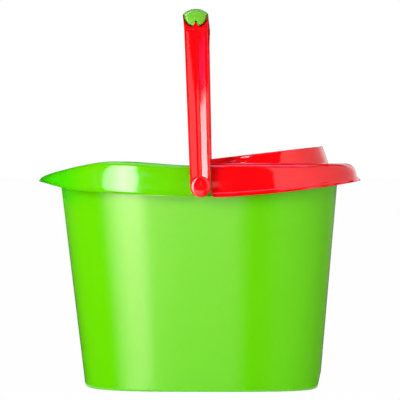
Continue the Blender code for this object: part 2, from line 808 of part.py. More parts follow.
def make_pin(name, side):
    """Push-in pin with a domed head over the bail's eye."""
    seat = ARM_OUTER + FIT
    tip = seat - PIN_LENGTH
    profile = [
        (PIN_RADIUS - PIN_TAPER, tip),
        (PIN_RADIUS, tip + 2 * PIN_TAPER),
        (PIN_RADIUS, seat),
        (PIN_HEAD_RADIUS, seat),
    ]
    for step in range(ARC_STEPS):
        turn = math.pi / 2 * step / ARC_STEPS
        dome = (PIN_HEAD_HEIGHT - PIN_HEAD_EDGE) * math.sin(turn)
        profile.append((PIN_HEAD_RADIUS * math.cos(turn), seat + PIN_HEAD_EDGE + dome))
    shape = turned([(radius, side * along) for radius, along in profile], Vector((0.0, 0.0, 0.0)))
    pin = add_piece(name, shape, RED)
    pin.matrix_world = Matrix.Translation((PIVOT_X, 0.0, PIVOT_HEIGHT))


def main():
    """Clear the scene and model the pieces."""
    for old in list(bpy.data.objects):
        bpy.data.objects.remove(old, do_unlink=True)
    make_bucket()
    make_wringer()
    hub = make_bail()
    make_grip(hub)
    make_pin("pivot_pin_front", -1)
    make_pin("pivot_pin_back", 1)


main()
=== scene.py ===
"""Dressed mop bucket: moulded plastic pieces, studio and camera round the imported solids.

Metres, +Z up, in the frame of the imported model. +X points to the wringer end, -X to the pouring
lip, and the bail turns about a line along Y. Every piece keeps its place in its mesh.
"""

import logging
import math
from dataclasses import dataclass, field
from enum import Enum
from typing import Any, Callable, Optional, Sequence

import bmesh
import bpy
from mathutils import Matrix, Vector


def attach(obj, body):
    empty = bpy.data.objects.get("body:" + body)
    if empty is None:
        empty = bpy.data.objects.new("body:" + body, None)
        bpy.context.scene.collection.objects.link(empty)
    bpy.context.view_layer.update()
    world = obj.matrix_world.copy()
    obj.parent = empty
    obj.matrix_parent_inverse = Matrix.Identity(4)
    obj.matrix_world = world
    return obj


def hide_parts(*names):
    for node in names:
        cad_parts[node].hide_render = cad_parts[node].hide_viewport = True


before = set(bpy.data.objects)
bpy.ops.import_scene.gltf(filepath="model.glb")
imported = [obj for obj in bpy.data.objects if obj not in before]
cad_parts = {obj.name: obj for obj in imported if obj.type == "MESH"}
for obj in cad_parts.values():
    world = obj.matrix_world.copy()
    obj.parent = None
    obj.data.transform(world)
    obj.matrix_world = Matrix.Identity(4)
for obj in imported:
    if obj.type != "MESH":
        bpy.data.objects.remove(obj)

LOG = logging.getLogger("mop_bucket")
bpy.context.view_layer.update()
IMAGE_SIZE = 400
TAU = 2 * math.pi
QUARTER = math.pi / 2
MERGE_DISTANCE = 1e-7
SIDES = ((-1, "front"), (1, "back"))

Pair = tuple[float, float]
Triple = tuple[float, float, float]
Ring = list[Vector]
Shape = bmesh.types.BMesh
Item = bpy.types.Object
Tree = bpy.types.NodeTree
Material = bpy.types.Material


def mix(start: Any, end: Any, share: Any) -> Any:
    """Value, a number or a wire, a share of the way from start to end."""
    return start + (end - start) * share


def ease(share: float) -> float:
    """Smooth step from 0 to 1, held at the ends."""
    share = min(max(share, 0.0), 1.0)
    return share * share * (3 - 2 * share)


def spread(start: float, end: float, steps: int) -> list[float]:
    """Evenly spaced values from start to end, both included."""
    return [mix(start, end, step / steps) for step in range(steps + 1)]


def quarter_round(steps: int) -> list[Pair]:
    """Sine and cosine pairs through a quarter turn."""
    return [(math.sin(turn), math.cos(turn)) for turn in spread(0.0, QUARTER, steps)]


def operator(operation: str, swapped: bool = False) -> Callable[["Wire", Any], "Wire"]:
    """Method of a wire for one Math operation.

    Args:
        operation: Blender's name of the operation.
        swapped: put the other value first, for a reflected form.

    Returns:
        The method.
    """
    def apply(wire: "Wire", other: Any) -> "Wire":
        """Add the Math node over the wire and the other value."""
        return wire.board.math(operation, *((other, wire) if swapped else (wire, other)))

    return apply


class Wire:
    """An output socket with arithmetic: each operator adds a Math node to its tree."""

    def __init__(self, board: "NodeBoard", socket: bpy.types.NodeSocket) -> None:
        """Keep the socket and the board that can add nodes beside it."""
        self.board = board
        self.socket = socket

    __add__ = __radd__ = operator("ADD")
    __sub__ = operator("SUBTRACT")
    __rsub__ = operator("SUBTRACT", True)
    __mul__ = __rmul__ = operator("MULTIPLY")
    __truediv__ = operator("DIVIDE")
    __rtruediv__ = operator("DIVIDE", True)
    __pow__ = operator("POWER")


class NodeBoard:
    """Adds nodes to a shader or geometry tree and links them."""

    def __init__(self, tree: Tree) -> None:
        """Work on one tree."""
        self.tree = tree

    def add(self, kind: str, settings: Optional[dict[str, Any]] = None,
            sockets: Optional[dict[Any, Any]] = None) -> bpy.types.Node:
        """Add one node.

        Args:
            kind: Blender's name of the node type.
            settings: properties of the node, set before its sockets.
            sockets: values, wires or lists of wires for its inputs, by name or place.

        Returns:
            The new node.
        """
        node = self.tree.nodes.new(kind)
        for key, value in (settings or {}).items():
            setattr(node, key, value)
        for key, value in (sockets or {}).items():
            for single in value if isinstance(value, list) else [value]:
                if isinstance(single, Wire):
                    self.link(single, node.inputs[key])
                else:
                    node.inputs[key].default_value = single
        return node

    def wire(self, kind: str, settings: Optional[dict[str, Any]] = None,
             sockets: Optional[dict[Any, Any]] = None, out: Any = 0) -> Wire:
        """Add one node and return the wire of its output, by name or place."""
        return Wire(self, self.add(kind, settings, sockets).outputs[out])

    def link(self, wire: Wire, target: bpy.types.NodeSocket) -> None:
        """Lead a wire into a socket."""
        self.tree.links.new(wire.socket, target)

    def math(self, operation: str, *values: Any) -> Wire:
        """Add a Math node over wires and numbers."""
        return self.wire("ShaderNodeMath", {"operation": operation}, dict(enumerate(values)))

    def smooth(self, value: Any, start: float, end: float) -> Wire:
        """Smooth step of a value from 0 at start to 1 at end."""
        settings = {"interpolation_type": "SMOOTHSTEP"}
        return self.wire("ShaderNodeMapRange", settings, {0: value, 1: start, 2: end})


class Tone(Enum):
    """The two plastics of the object, by their slots in the record."""

    GREEN = "green_plastic"
    RED = "red_plastic"


@dataclass(frozen=True)
class MouldedPlastic:
    """Glossy moulded plastic with flow marks, fine grain, handling haze and a scuffed foot."""

    name: str
    colour: Triple
    flow_colour: Triple
    roughness: float
    painted_light_colour: Optional[Triple] = None
    painted_light_reach: Pair = (-0.165, -0.118)
    painted_light_height: Pair = (0.205, 0.225)
    flow_scale: float = 21.0
    flow_stretch: float = 0.22
    flow_edges: Pair = (0.38, 0.72)
    flow_amount: float = 0.35
    haze_scale: float = 46.0
    haze_amount: float = 0.05
    rub_scale: float = 310.0
    rub_edges: Pair = (0.42, 0.62)
    scuff_height: float = 0.010
    scuff_amount: float = 0.16
    peel_scale: float = 75.0
    peel_depth: float = 0.00005
    grain_scale: float = 1150.0
    grain_depth: float = 0.000006
    scuff_grain: float = 2.0
    ior: float = 1.49

    # Detail, roughness and, for the flow marks, distortion of each noise.
    FLOW_NOISE = (3.0, 0.5, 0.4)
    HAZE_NOISE = (4.0, 0.6)
    RUB_NOISE = (2.0, 0.7)
    PEEL_NOISE = (1.0, 0.4)
    GRAIN_NOISE = (2.0, 0.55)

    def material(self) -> Material:
        """Build the material.

        Returns:
            A material whose colour, roughness and normal vary over the moulding.
        """
        material = bpy.data.materials.new(self.name)
        material.use_nodes = True
        board = NodeBoard(material.node_tree)
        shader = material.node_tree.nodes["Principled BSDF"]
        place = board.wire("ShaderNodeTexCoord", out="Object")
        drawn = board.wire("ShaderNodeMapping", None, {
            "Vector": place, "Scale": (1.0, 1.0, self.flow_stretch)})
        flow = self.noise(board, drawn, self.flow_scale, *self.FLOW_NOISE)
        haze = self.noise(board, place, self.haze_scale, *self.HAZE_NOISE)
        rubs = self.noise(board, place, self.rub_scale, *self.RUB_NOISE)
        parts = board.add("ShaderNodeSeparateXYZ", None, {"Vector": place})
        along, height = Wire(board, parts.outputs["X"]), Wire(board, parts.outputs["Z"])
        foot = 1.0 - board.smooth(height, 0.0, self.scuff_height)
        scuff = foot * board.smooth(rubs, *self.rub_edges)
        blend = board.smooth(flow, *self.flow_edges) * self.flow_amount
        tint = self.tinted(board, blend, (*self.colour, 1.0), self.flow_colour)
        # Painted light and shade: over a region set by place along X and by height, the colour
        # moves to a second colour that stands in for how light falls there.
        if self.painted_light_colour:
            off_painted_light = board.smooth(along, *self.painted_light_reach)
            share = (1.0 - off_painted_light) * board.smooth(height, *self.painted_light_height)
            tint = self.tinted(board, share, tint, self.painted_light_colour)
        board.link(tint, shader.inputs["Base Color"])
        rough = self.roughness + (haze - 0.5) * self.haze_amount + scuff * self.scuff_amount
        board.link(rough, shader.inputs["Roughness"])
        peel = self.noise(board, place, self.peel_scale, *self.PEEL_NOISE)
        grain = self.noise(board, place, self.grain_scale, *self.GRAIN_NOISE)
        waves = board.wire("ShaderNodeBump", None, {
            "Height": peel, "Distance": self.peel_depth, "Strength": 1.0})
        fine = board.wire("ShaderNodeBump", None, {
            "Height": grain + scuff * self.scuff_grain, "Distance": self.grain_depth,
            "Strength": 1.0, "Normal": waves})
        board.link(fine, shader.inputs["Normal"])
        shader.inputs["IOR"].default_value = self.ior
        return material

    @staticmethod
    def noise(board: NodeBoard, place: Wire, scale: float, detail: float, rough: float,
              distortion: float = 0.0) -> Wire:
        """Add a noise texture.

        Args:
            board: tree that gets the node.
            place: wire of the place that it reads.
            scale: fineness of the noise.
            detail: count of its finer layers.
            rough: strength of the finer layers.
            distortion: how far the place is warped.

        Returns:
            Wire of the noise.
        """
        return board.wire("ShaderNodeTexNoise", None, {
            "Vector": place, "Scale": scale, "Detail": detail, "Roughness": rough,
            "Distortion": distortion})

    @staticmethod
    def tinted(board: NodeBoard, share: Wire, start: Any, end: Triple) -> Wire:
        """Wire of a colour that a share moves from start, a colour or a wire, to end."""
        settings = {"data_type": "RGBA"}
        return board.wire("ShaderNodeMix", settings, {0: share, 6: start, 7: (*end, 1.0)}, 2)


# Painted light: the green is painted deeper towards the tip of the pouring lip, standing in for
# light through the thin plastic and green bounce light there.
GREEN_FINISH = MouldedPlastic(
    "lime_green_plastic", (0.140, 0.660, 0.0004), (0.152, 0.672, 0.0008), 0.08,
    (0.053, 0.650, 0.0004))
RED_FINISH = MouldedPlastic(
    "bright_red_plastic", (0.92, 0.0020, 0.0050), (0.94, 0.0030, 0.0070), 0.07)
# Painted shade and reflection: the grip's crown is painted a darker, greyer green, standing in for
# its top in shade with a grey reflection of the surroundings.
GRIP_FINISH = MouldedPlastic(
    "soft_green_grip", (0.134, 0.465, 0.0100), (0.145, 0.480, 0.0140), 0.30,
    (0.130, 0.400, 0.045), painted_light_reach=(1.0, 2.0), painted_light_height=(0.4285, 0.4315))


class Workshop:
    """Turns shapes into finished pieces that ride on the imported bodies."""

    SHARP_ANGLE = math.radians(32)

    def __init__(self) -> None:
        """Make the two plastics and the grip's softer one."""
        self.plastics = {Tone.GREEN: GREEN_FINISH.material(), Tone.RED: RED_FINISH.material()}
        self.soft_grip = GRIP_FINISH.material()

    @staticmethod
    def draft(name: str, shape: Shape) -> Item:
        """Link an unfinished object for an edit mesh, which is used up.

        Args:
            name: name of the object and its mesh.
            shape: edit mesh.

        Returns:
            The new object.
        """
        mesh = bpy.data.meshes.new(name)
        shape.to_mesh(mesh)
        shape.free()
        item = bpy.data.objects.new(name, mesh)
        bpy.context.scene.collection.objects.link(item)
        return item

    @staticmethod
    def settle(item: Item) -> Item:
        """Replace an object's mesh by its evaluated one and drop its modifiers.

        Args:
            item: object with live modifiers.

        Returns:
            The same object with a plain mesh.
        """
        graph = bpy.context.evaluated_depsgraph_get()
        made = bpy.data.meshes.new_from_object(item.evaluated_get(graph), depsgraph=graph)
        item.modifiers.clear()
        old = item.data
        item.data = made
        bpy.data.meshes.remove(old)
        return item

    def carve(self, item: Item, tool: Shape, operation: str) -> None:
        """Join or cut an object with a tool shape.

        Args:
            item: object to change.
            tool: closed shape, used up.
            operation: UNION or DIFFERENCE.
        """
        helper = self.draft("tool", tool)
        step = item.modifiers.new("carve", "BOOLEAN")
        step.operation = operation
        step.solver = "EXACT"
        step.object = helper
        self.settle(item)
        mesh = helper.data
        bpy.data.objects.remove(helper)
        bpy.data.meshes.remove(mesh)

    @staticmethod
    def note(item: Item, name: str, values: Sequence[float]) -> None:
        """Write a named value on each of an object's points."""
        item.data.attributes.new(name, "FLOAT", "POINT").data.foreach_set("value", values)

    def grow(self, item: Item, tree: Tree, sizes: dict[str, Any]) -> None:
        """Run a geometry tree on an object and keep the result as its mesh.

        Args:
            item: object whose mesh goes in.
            tree: geometry tree with named inputs.
            sizes: values of the inputs by name.
        """
        step = item.modifiers.new(tree.name, "NODES")
        step.node_group = tree
        for socket in tree.interface.items_tree:
            if socket.in_out == "INPUT" and socket.name in sizes:
                step[socket.identifier] = sizes[socket.name]
        self.settle(item)

    def finish(self, item: Item, tone: Tone, body: str, *nodes: str,
               finish: Optional[Material] = None) -> None:
        """Dress a piece, name its body and the solids that it stands for.

        Args:
            item: object with its final mesh.
            tone: plastic of the piece.
            body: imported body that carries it.
            nodes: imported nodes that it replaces.
            finish: material in place of the tone's own plastic.
        """
        mesh = item.data
        mesh.materials.clear()
        mesh.materials.append(finish or self.plastics[tone])
        for face in mesh.polygons:
            face.material_index = 0
        mesh.shade_smooth()
        mesh.set_sharp_from_angle(angle=self.SHARP_ANGLE)
        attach(item, body)
        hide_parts(*nodes)
        LOG.info("%s: %d faces on %s", item.name, len(mesh.polygons), body)


class GeometryTree:
    """A geometry tree under construction, with named inputs."""

    def __init__(self, name: str) -> None:
        """Start a tree with a geometry input and output.

        Args:
            name: name of the tree.
        """
        self.tree = bpy.data.node_groups.new(name, "GeometryNodeTree")
        self.board = NodeBoard(self.tree)
        self._ask("Geometry", "NodeSocketGeometry")
        self.tree.interface.new_socket(
            "Geometry", in_out="OUTPUT", socket_type="NodeSocketGeometry")
        self.entry = self.tree.nodes.new("NodeGroupInput")
        self.exit = self.tree.nodes.new("NodeGroupOutput")

    def _ask(self, name: str, kind: str) -> None:
        """Declare one input."""
        self.tree.interface.new_socket(name, in_out="INPUT", socket_type=kind)

    def size(self, name: str, kind: str = "NodeSocketFloat") -> Wire:
        """Declare a named input and return its wire."""
        self._ask(name, kind)
        return Wire(self.board, self.entry.outputs[name])

    def geometry(self) -> Wire:
        """Wire of the incoming geometry."""
        return Wire(self.board, self.entry.outputs["Geometry"])

    def attribute(self, name: str) -> Wire:
        """Wire of a named value on the points."""
        settings = {"data_type": "FLOAT"}
        return self.board.wire("GeometryNodeInputNamedAttribute", settings, {"Name": name})

    def close(self, shape: Wire) -> Tree:
        """End the tree in Realize Instances and Set Material.

        Args:
            shape: wire of the final geometry.

        Returns:
            The finished tree.
        """
        plastic = self.size("Plastic", "NodeSocketMaterial")
        real = self.board.wire("GeometryNodeRealizeInstances", None, {"Geometry": shape})
        done = self.board.wire("GeometryNodeSetMaterial", None, {
            "Geometry": real, "Material": plastic})
        self.board.link(done, self.exit.inputs["Geometry"])
        return self.tree


def oval_rule(board: NodeBoard, angle: Any, half_length: Any, half_width: Any,
              power: Any) -> tuple[Wire, Wire, Wire, Wire]:
    """Rounded rectangle as node maths.

    Args:
        board: tree that gets the nodes.
        angle: angle on the unit square.
        half_length: half the size along X.
        half_width: half the size along Y.
        power: squareness, 2 for an ellipse.

    Returns:
        Wires of the point's x and y and of the outward normal's x and y.
    """
    along = board.math("COSINE", angle)
    across = board.math("SINE", angle)
    size_along = board.math("ABSOLUTE", along)
    size_across = board.math("ABSOLUTE", across)
    reach = (size_along ** power + size_across ** power) ** (-1.0 / power)
    slope_x = board.math("SIGN", along) * (reach * size_along) ** (power - 1.0) / half_length
    slope_y = board.math("SIGN", across) * (reach * size_across) ** (power - 1.0) / half_width
    length = board.math("SQRT", slope_x * slope_x + slope_y * slope_y)
    return (half_length * reach * along, half_width * reach * across,
            slope_x / length, slope_y / length)


def rounded_oval(angle: float, half_length: float, half_width: float,
                 power: float) -> tuple[Vector, Vector]:
    """Rounded rectangle as numbers, by the same rule.

    Args:
        angle: angle on the unit square.
        half_length: half the size along X.
        half_width: half the size along Y.
        power: squareness, 2 for an ellipse.

    Returns:
        The point and the outward normal.
    """
    along = math.cos(angle)
    across = math.sin(angle)
    reach = (abs(along) ** power + abs(across) ** power) ** (-1 / power)
    point = Vector((half_length * reach * along, half_width * reach * across))
    slope_x = math.copysign(abs(reach * along) ** (power - 1), along) / half_length
    slope_y = math.copysign(abs(reach * across) ** (power - 1), across) / half_width
    return point, Vector((slope_x, slope_y)).normalized()


def plan_angles(columns: int) -> list[float]:
    """Angles round the plan, closer together at the corners than along the sides.

    Args:
        columns: count of the angles.

    Returns:
        The angles in order, from 0 on.
    """
    crowding = 0.4
    turns = [TAU * index / columns for index in range(columns)]
    return [turn + crowding * math.sin(4 * turn) / 4 for turn in turns]


def skin(rings: Sequence[Sequence[Any]], closed_ends: bool = True) -> Shape:
    """Skin through rings of equal count.

    Args:
        rings: rings of points in order.
        closed_ends: cap the first and the last ring.

    Returns:
        The edit mesh.
    """
    shape = bmesh.new()
    loops = [[shape.verts.new(point) for point in ring] for ring in rings]
    count = len(loops[0])
    for lower, upper in zip(loops, loops[1:]):
        for index in range(count):
            after = (index + 1) % count
            shape.faces.new((lower[index], lower[after], upper[after], upper[index]))
    if closed_ends:
        shape.faces.new(list(reversed(loops[0])))
        shape.faces.new(loops[-1])
    return shape


def outward(shape: Shape, merge: bool = False) -> Shape:
    """Turn a shape's faces outwards.

    Args:
        shape: edit mesh, changed in place.
        merge: merge its doubled points first.

    Returns:
        The same edit mesh.
    """
    if merge:
        bmesh.ops.remove_doubles(shape, verts=shape.verts, dist=MERGE_DISTANCE)
    bmesh.ops.recalc_face_normals(shape, faces=shape.faces)
    return shape


def prism(outline: Sequence[Pair], start: float, end: float) -> Shape:
    """Closed solid with an outline of (x, z) points, run along Y."""
    return outward(skin([[(x, level, z) for x, z in outline] for level in (start, end)]))


def turned(profile: Sequence[Pair], centre: Vector, steps: int, loop: bool = False) -> Shape:
    """Solid turned about a line along Y.

    Args:
        profile: (radius, y) points.
        centre: point that the line runs through.
        steps: facets round the line.
        loop: join the profile's last point to its first, for a tube.

    Returns:
        The edit mesh.
    """
    turns = [TAU * step / steps for step in range(steps)]
    rings = []
    for radius, along in profile:
        rings.append([centre + Vector((radius * math.cos(turn), along, radius * math.sin(turn)))
                      for turn in turns])
    if loop:
        rings.append(rings[0])
    return outward(skin(rings, not loop), True)


@dataclass
class BucketShell:
    """Green bucket: tapered wall, foot ring, collar, pouring lip and pivot bosses."""

    rim_height: float = 0.259
    mouth_length: float = 0.329
    mouth_width: float = 0.222
    mouth_shift: float = -0.00105
    base_length: float = 0.2765
    base_width: float = 0.176
    base_shift: float = 0.00345
    plan_power: float = 4.0
    lip_power: float = 3.2
    wall: float = 0.0022
    floor: float = 0.0024
    floor_fillet: float = 0.010
    foot_height: float = 0.003
    foot_width: float = 0.005
    foot_round: float = 0.002
    grip_height: float = 0.018
    grip_depth: float = 0.0055
    grip_width: float = 0.130
    collar_depth: float = 0.0353
    overhang_side: float = 0.019
    overhang_lip: float = 0.0255
    overhang_wringer: float = 0.02325
    crest_share: float = 0.30
    shoulder_share: float = 0.84
    flare_share: float = 0.20
    flare_power: float = 2.2
    face_lean: float = 0.19
    crest_round: float = 0.005
    wringer_rise: float = 0.0193
    wringer_curve: float = 1.7
    lip_rise: float = 0.011
    lip_rise_curve: float = 1.4
    swell: float = 0.0049
    swell_reach: float = 0.098
    swell_start: float = -0.0073
    lip_drop: float = 0.0150
    lip_curve: float = 1.5
    lip_thickness: float = 0.0030
    lip_nose: float = 0.0024
    lip_lift_start: float = 0.72
    spout_width: float = 0.110
    spout_depth: float = 0.0115
    pivot: Pair = (0.0028, 0.2354)
    boss_radius: float = 0.009
    boss_face: float = 0.12717
    bore_radius: float = 0.0053
    columns: int = 336
    arc_steps: int = 14
    flare_steps: int = 5
    round_steps: int = 6
    wall_rows: int = 8
    grip_rows: int = 6
    foot_edge: float = 0.0004
    boss_chamfer: float = 0.0006
    boss_steps: int = 64

    SIZES = ("Rim Height", "Mouth Length", "Mouth Width", "Mouth Shift", "Base Length",
             "Base Width", "Base Shift", "Plan Power", "Lip Power")
    POINT_VALUES = ("plan_angle", "offset", "level", "scale")
    UNDER_SCALES = (0.04, 0.3, 0.6, 0.85, 0.985)
    FLOOR_SCALES = (0.94, 0.7, 0.4, 0.04)

    def __post_init__(self) -> None:
        """Work out the heights and reaches that follow from the sizes."""
        self.lip_height = self.rim_height - self.lip_drop
        self.collar_base = self.rim_height - self.collar_depth
        self.floor_top = self.foot_height + self.floor
        self.tip_reach = -self.wall_point(math.pi, self.lip_height, self.overhang_lip).x
        self.end_reach = self.wall_point(
            0.0, self.collar_base + self.wringer_rise, self.overhang_wringer).x

    def wall_oval(self, angle: float, height: float) -> tuple[float, Vector, Vector]:
        """Outer face of the wall at a height.

        Args:
            angle: angle on the plan.
            height: height above the ground.

        Returns:
            The centre's shift along X, and the point and the normal about that centre.
        """
        share = height / self.rim_height
        half_length = mix(self.base_length, self.mouth_length, share) / 2
        half_width = mix(self.base_width, self.mouth_width, share) / 2
        power = self.lip_power if math.cos(angle) < 0 else self.plan_power
        point, normal = rounded_oval(angle, half_length, half_width, power)
        return mix(self.base_shift, self.mouth_shift, share), point, normal

    def wall_point(self, angle: float, height: float, offset: float = 0.0) -> Vector:
        """Point at a distance outside the wall's outer face.

        Args:
            angle: angle on the plan.
            height: height above the ground.
            offset: distance outside the face.

        Returns:
            The point.
        """
        centre, point, normal = self.wall_oval(angle, height)
        place = point + normal * offset
        return Vector((centre + place.x, place.y, height))

    def crest_height(self, x: float) -> float:
        """Height of the rim's crest: level over the wringer end, a swell, then the fall to the lip.

        Args:
            x: place along the bucket.

        Returns:
            The height.
        """
        if x >= self.swell_start:
            return self.rim_height
        rise = self.swell * ease((self.swell_start - x) / (self.swell_start + self.swell_reach))
        share = (-x - self.swell_reach) / (self.tip_reach - self.swell_reach)
        share = min(max(share, 0.0), 1.0)
        return self.rim_height + rise - (self.swell + self.lip_drop) * share ** self.lip_curve

    def wringer_edge(self, x: float) -> float:
        """Height of the collar's lower edge towards the wringer end."""
        share = abs(x) / self.end_reach
        return self.collar_base + self.wringer_rise * share ** self.wringer_curve

    def collar_edge(self, x: float) -> float:
        """Height of the collar's lower edge, which sweeps up towards both ends.

        Args:
            x: place along the bucket.

        Returns:
            The height.
        """
        if x >= 0:
            return self.wringer_edge(x)
        share = -x / self.tip_reach
        lift = self.lip_height - self.lip_thickness - self.collar_base - self.lip_rise
        lip = ease((share - self.lip_lift_start) / (1 - self.lip_lift_start))
        return self.collar_base + self.lip_rise * share ** self.lip_rise_curve + lift * lip

    def overhang(self, angle: float) -> float:
        """Distance from the wall to the collar's lower edge.

        Args:
            angle: angle on the plan.

        Returns:
            The distance.
        """
        normal = self.wall_oval(angle, self.rim_height)[2]
        end = self.overhang_lip if normal.x < 0 else self.overhang_wringer
        return self.overhang_side * normal.y ** 2 + end * normal.x ** 2

    def collar_face(self, reach: float, edge: float, crest: float, grow_out: float = 0.0,
                    grow_up: float = 0.0) -> list[Pair]:
        """Face of the collar from its lower edge over the flare and shoulder to the crest.

        Args:
            reach: overhang of the lower edge.
            edge: height of the lower edge.
            crest: height of the crest.
            grow_out: distance added outwards.
            grow_up: distance added upwards at the crest.

        Returns:
            (offset, height) points.
        """
        start = edge + self.flare_share * (crest - edge)
        shoulder = self.shoulder_share * reach + grow_out
        upright = self.face_lean * (start - edge)
        face = []
        for step in range(self.flare_steps):
            share = 1 - step / self.flare_steps
            spare = (1 - self.shoulder_share) * reach - upright
            flare = upright * share + spare * share ** self.flare_power
            face.append((shoulder + flare, mix(start, edge, share)))
        inner = self.crest_share * reach
        for sine, cosine in quarter_round(self.arc_steps):
            height = (crest - start + grow_up) * sine
            lean = self.face_lean * height * (1 - sine) ** 2
            face.append((inner + (shoulder - inner) * cosine - lean, start + height))
        return face

    def collar_section(self, angle: float) -> list[Pair]:
        """Collar from the wall's outer face round its edge and over the crest to the inner face.

        Args:
            angle: angle on the plan.

        Returns:
            (offset, height) points.
        """
        reach = self.overhang(angle)
        crest_x = self.wall_point(angle, self.rim_height, self.crest_share * reach).x
        crest = self.crest_height(crest_x)
        edge = self.collar_edge(self.wall_point(angle, self.collar_base, reach).x)
        tip = self.wall / 3
        section = [(0.0, crest - 2 * self.wall)]
        section += reversed(self.collar_face(reach, edge + tip, crest, -self.wall, -self.wall))
        section += [(reach - self.wall + tip, edge), (reach - tip, edge)]
        section += self.collar_face(reach, edge + tip, crest)
        for sine, cosine in quarter_round(self.round_steps):
            section.append((-self.wall * sine, crest - self.crest_round * (1 - cosine)))
        return section

    def spout_section(self) -> list[Pair]:
        """The same points where the wall flares out into the middle of the pouring lip.

        Returns:
            (offset, height) points, as many as in the collar's section.
        """
        throat = self.lip_height - self.spout_depth
        under_tip = self.lip_height - self.lip_thickness
        reach = self.overhang_lip
        face_count = self.flare_steps + self.arc_steps + 1

        def ramp(share: float, lift: float) -> Pair:
            """Point on the ramp of the spout."""
            return share * reach, mix(throat, under_tip, share) + lift

        section = [(0.0, throat - self.wall)]
        for step in range(1, face_count + 1):
            section.append(ramp(step / (face_count + 1), 0.0))
        section += [ramp(1.0 - 0.5 / (face_count + 1), 0.0), (reach, under_tip)]
        for turn in spread(0.0, QUARTER, face_count - 1):
            inset = self.lip_nose * (1 - math.cos(turn))
            section.append((reach - inset, self.lip_height - self.lip_nose * (1 - math.sin(turn))))
        for step in range(self.round_steps):
            section.append(ramp(1 - (step + 1) / (self.round_steps + 1), self.lip_thickness))
        section.append((-self.wall, throat - self.wall))
        return section

    def spout_share(self, angle: float) -> float:
        """How far a plan angle lies in the pouring lip, from 0 outside to 1 in the middle."""
        place = self.wall_point(angle, self.rim_height)
        return 0.0 if place.x > 0 else 1 - ease(abs(place.y) / (self.spout_width / 2))

    def tipping_recess(self, angle: float, height: float) -> float:
        """Depth of the tipping grip under the wringer end.

        Args:
            angle: angle on the plan.
            height: height above the ground.

        Returns:
            The depth into the wall, 0 outside the grip.
        """
        place = self.wall_point(angle, 0.0)
        if place.x < 0 or height > self.grip_height:
            return 0.0
        width = 1 - ease(abs(place.y) / (self.grip_width / 2))
        return self.grip_depth * (1 - height / self.grip_height) * width

    def section(self, angle: float) -> list[Triple]:
        """Whole section at a plan angle.

        Args:
            angle: angle on the plan.

        Returns:
            (offset, height, scale) rows from the middle under the floor to the middle of its top.
        """
        foot_inner = self.foot_round + self.foot_width
        under = -foot_inner - self.foot_round
        rows = [(under, self.foot_height, scale) for scale in (*self.UNDER_SCALES, 1.0)]
        rows += [(-foot_inner - self.foot_edge, 0.75 * self.foot_edge, 1.0),
                 (-foot_inner, 0.0, 1.0)]
        for sine, cosine in quarter_round(self.round_steps):
            rows.append((-self.foot_round * (1 - sine), self.foot_round * (1 - cosine), 1.0))
        low_wall = spread(self.foot_round, self.grip_height, self.grip_rows)[1:]
        rows += [(0.0, height, 1.0) for height in low_wall]
        share = self.spout_share(angle)
        collar = []
        for plain, lip in zip(self.collar_section(angle), self.spout_section()):
            collar.append((mix(plain[0], lip[0], share), mix(plain[1], lip[1], share), 1.0))
        outside = spread(self.grip_height, collar[0][1], self.wall_rows)[1:-1]
        inside = spread(collar[-1][1], self.floor_top + self.floor_fillet, self.wall_rows)[1:-1]
        rows += [(0.0, height, 1.0) for height in outside] + collar
        rows += [(-self.wall, height, 1.0) for height in inside]
        for sine, cosine in quarter_round(self.round_steps):
            inset = self.wall + self.floor_fillet * (1 - cosine)
            rows.append((-inset, self.floor_top + self.floor_fillet * (1 - sine), 1.0))
        inset = -self.wall - self.floor_fillet
        return rows + [(inset, self.floor_top, scale) for scale in self.FLOOR_SCALES]

    def wall_tree(self) -> Tree:
        """Geometry tree that lays a grid of angles, heights and offsets round the oval wall.

        Returns:
            The finished tree.
        """
        job = GeometryTree("tapered_oval_wall")
        board = job.board
        size = {name: job.size(name) for name in self.SIZES}
        angle, offset, level, scale = (job.attribute(name) for name in self.POINT_VALUES)
        share = level / size["Rim Height"]
        half_length = mix(size["Base Length"], size["Mouth Length"], share) * 0.5
        half_width = mix(size["Base Width"], size["Mouth Width"], share) * 0.5
        at_lip = board.math("LESS_THAN", board.math("COSINE", angle), 0.0)
        power = mix(size["Plan Power"], size["Lip Power"], at_lip)
        x, y, normal_x, normal_y = oval_rule(board, angle, half_length, half_width, power)
        shift = mix(size["Base Shift"], size["Mouth Shift"], share)
        place = board.wire("ShaderNodeCombineXYZ", None, {
            "X": shift + (x + normal_x * offset) * scale, "Y": (y + normal_y * offset) * scale,
            "Z": level})
        laid = board.wire("GeometryNodeSetPosition", None, {
            "Geometry": job.geometry(), "Position": place})
        return job.close(laid)

    def build(self, shop: Workshop) -> None:
        """Make the shell and its bosses.

        Args:
            shop: workshop that finishes the pieces.
        """
        columns = []
        for angle in plan_angles(self.columns):
            columns.append([(angle, offset - self.tipping_recess(angle, height), height, scale)
                            for offset, height, scale in self.section(angle)])
        grid = list(zip(*columns))
        flat = [[(column, row, 0.0) for column in range(self.columns)] for row in range(len(grid))]
        shell = shop.draft("bucket_shell", skin(flat))
        for place, name in enumerate(self.POINT_VALUES):
            shop.note(shell, name, [point[place] for ring in grid for point in ring])
        sizes = {name: getattr(self, name.lower().replace(" ", "_")) for name in self.SIZES}
        shop.grow(shell, self.wall_tree(), {**sizes, "Plastic": shop.plastics[Tone.GREEN]})
        for name in self.POINT_VALUES:
            shell.data.attributes.remove(shell.data.attributes[name])
        shop.finish(shell, Tone.GREEN, "bucket", "bucket_body")
        self.build_bosses(shop)

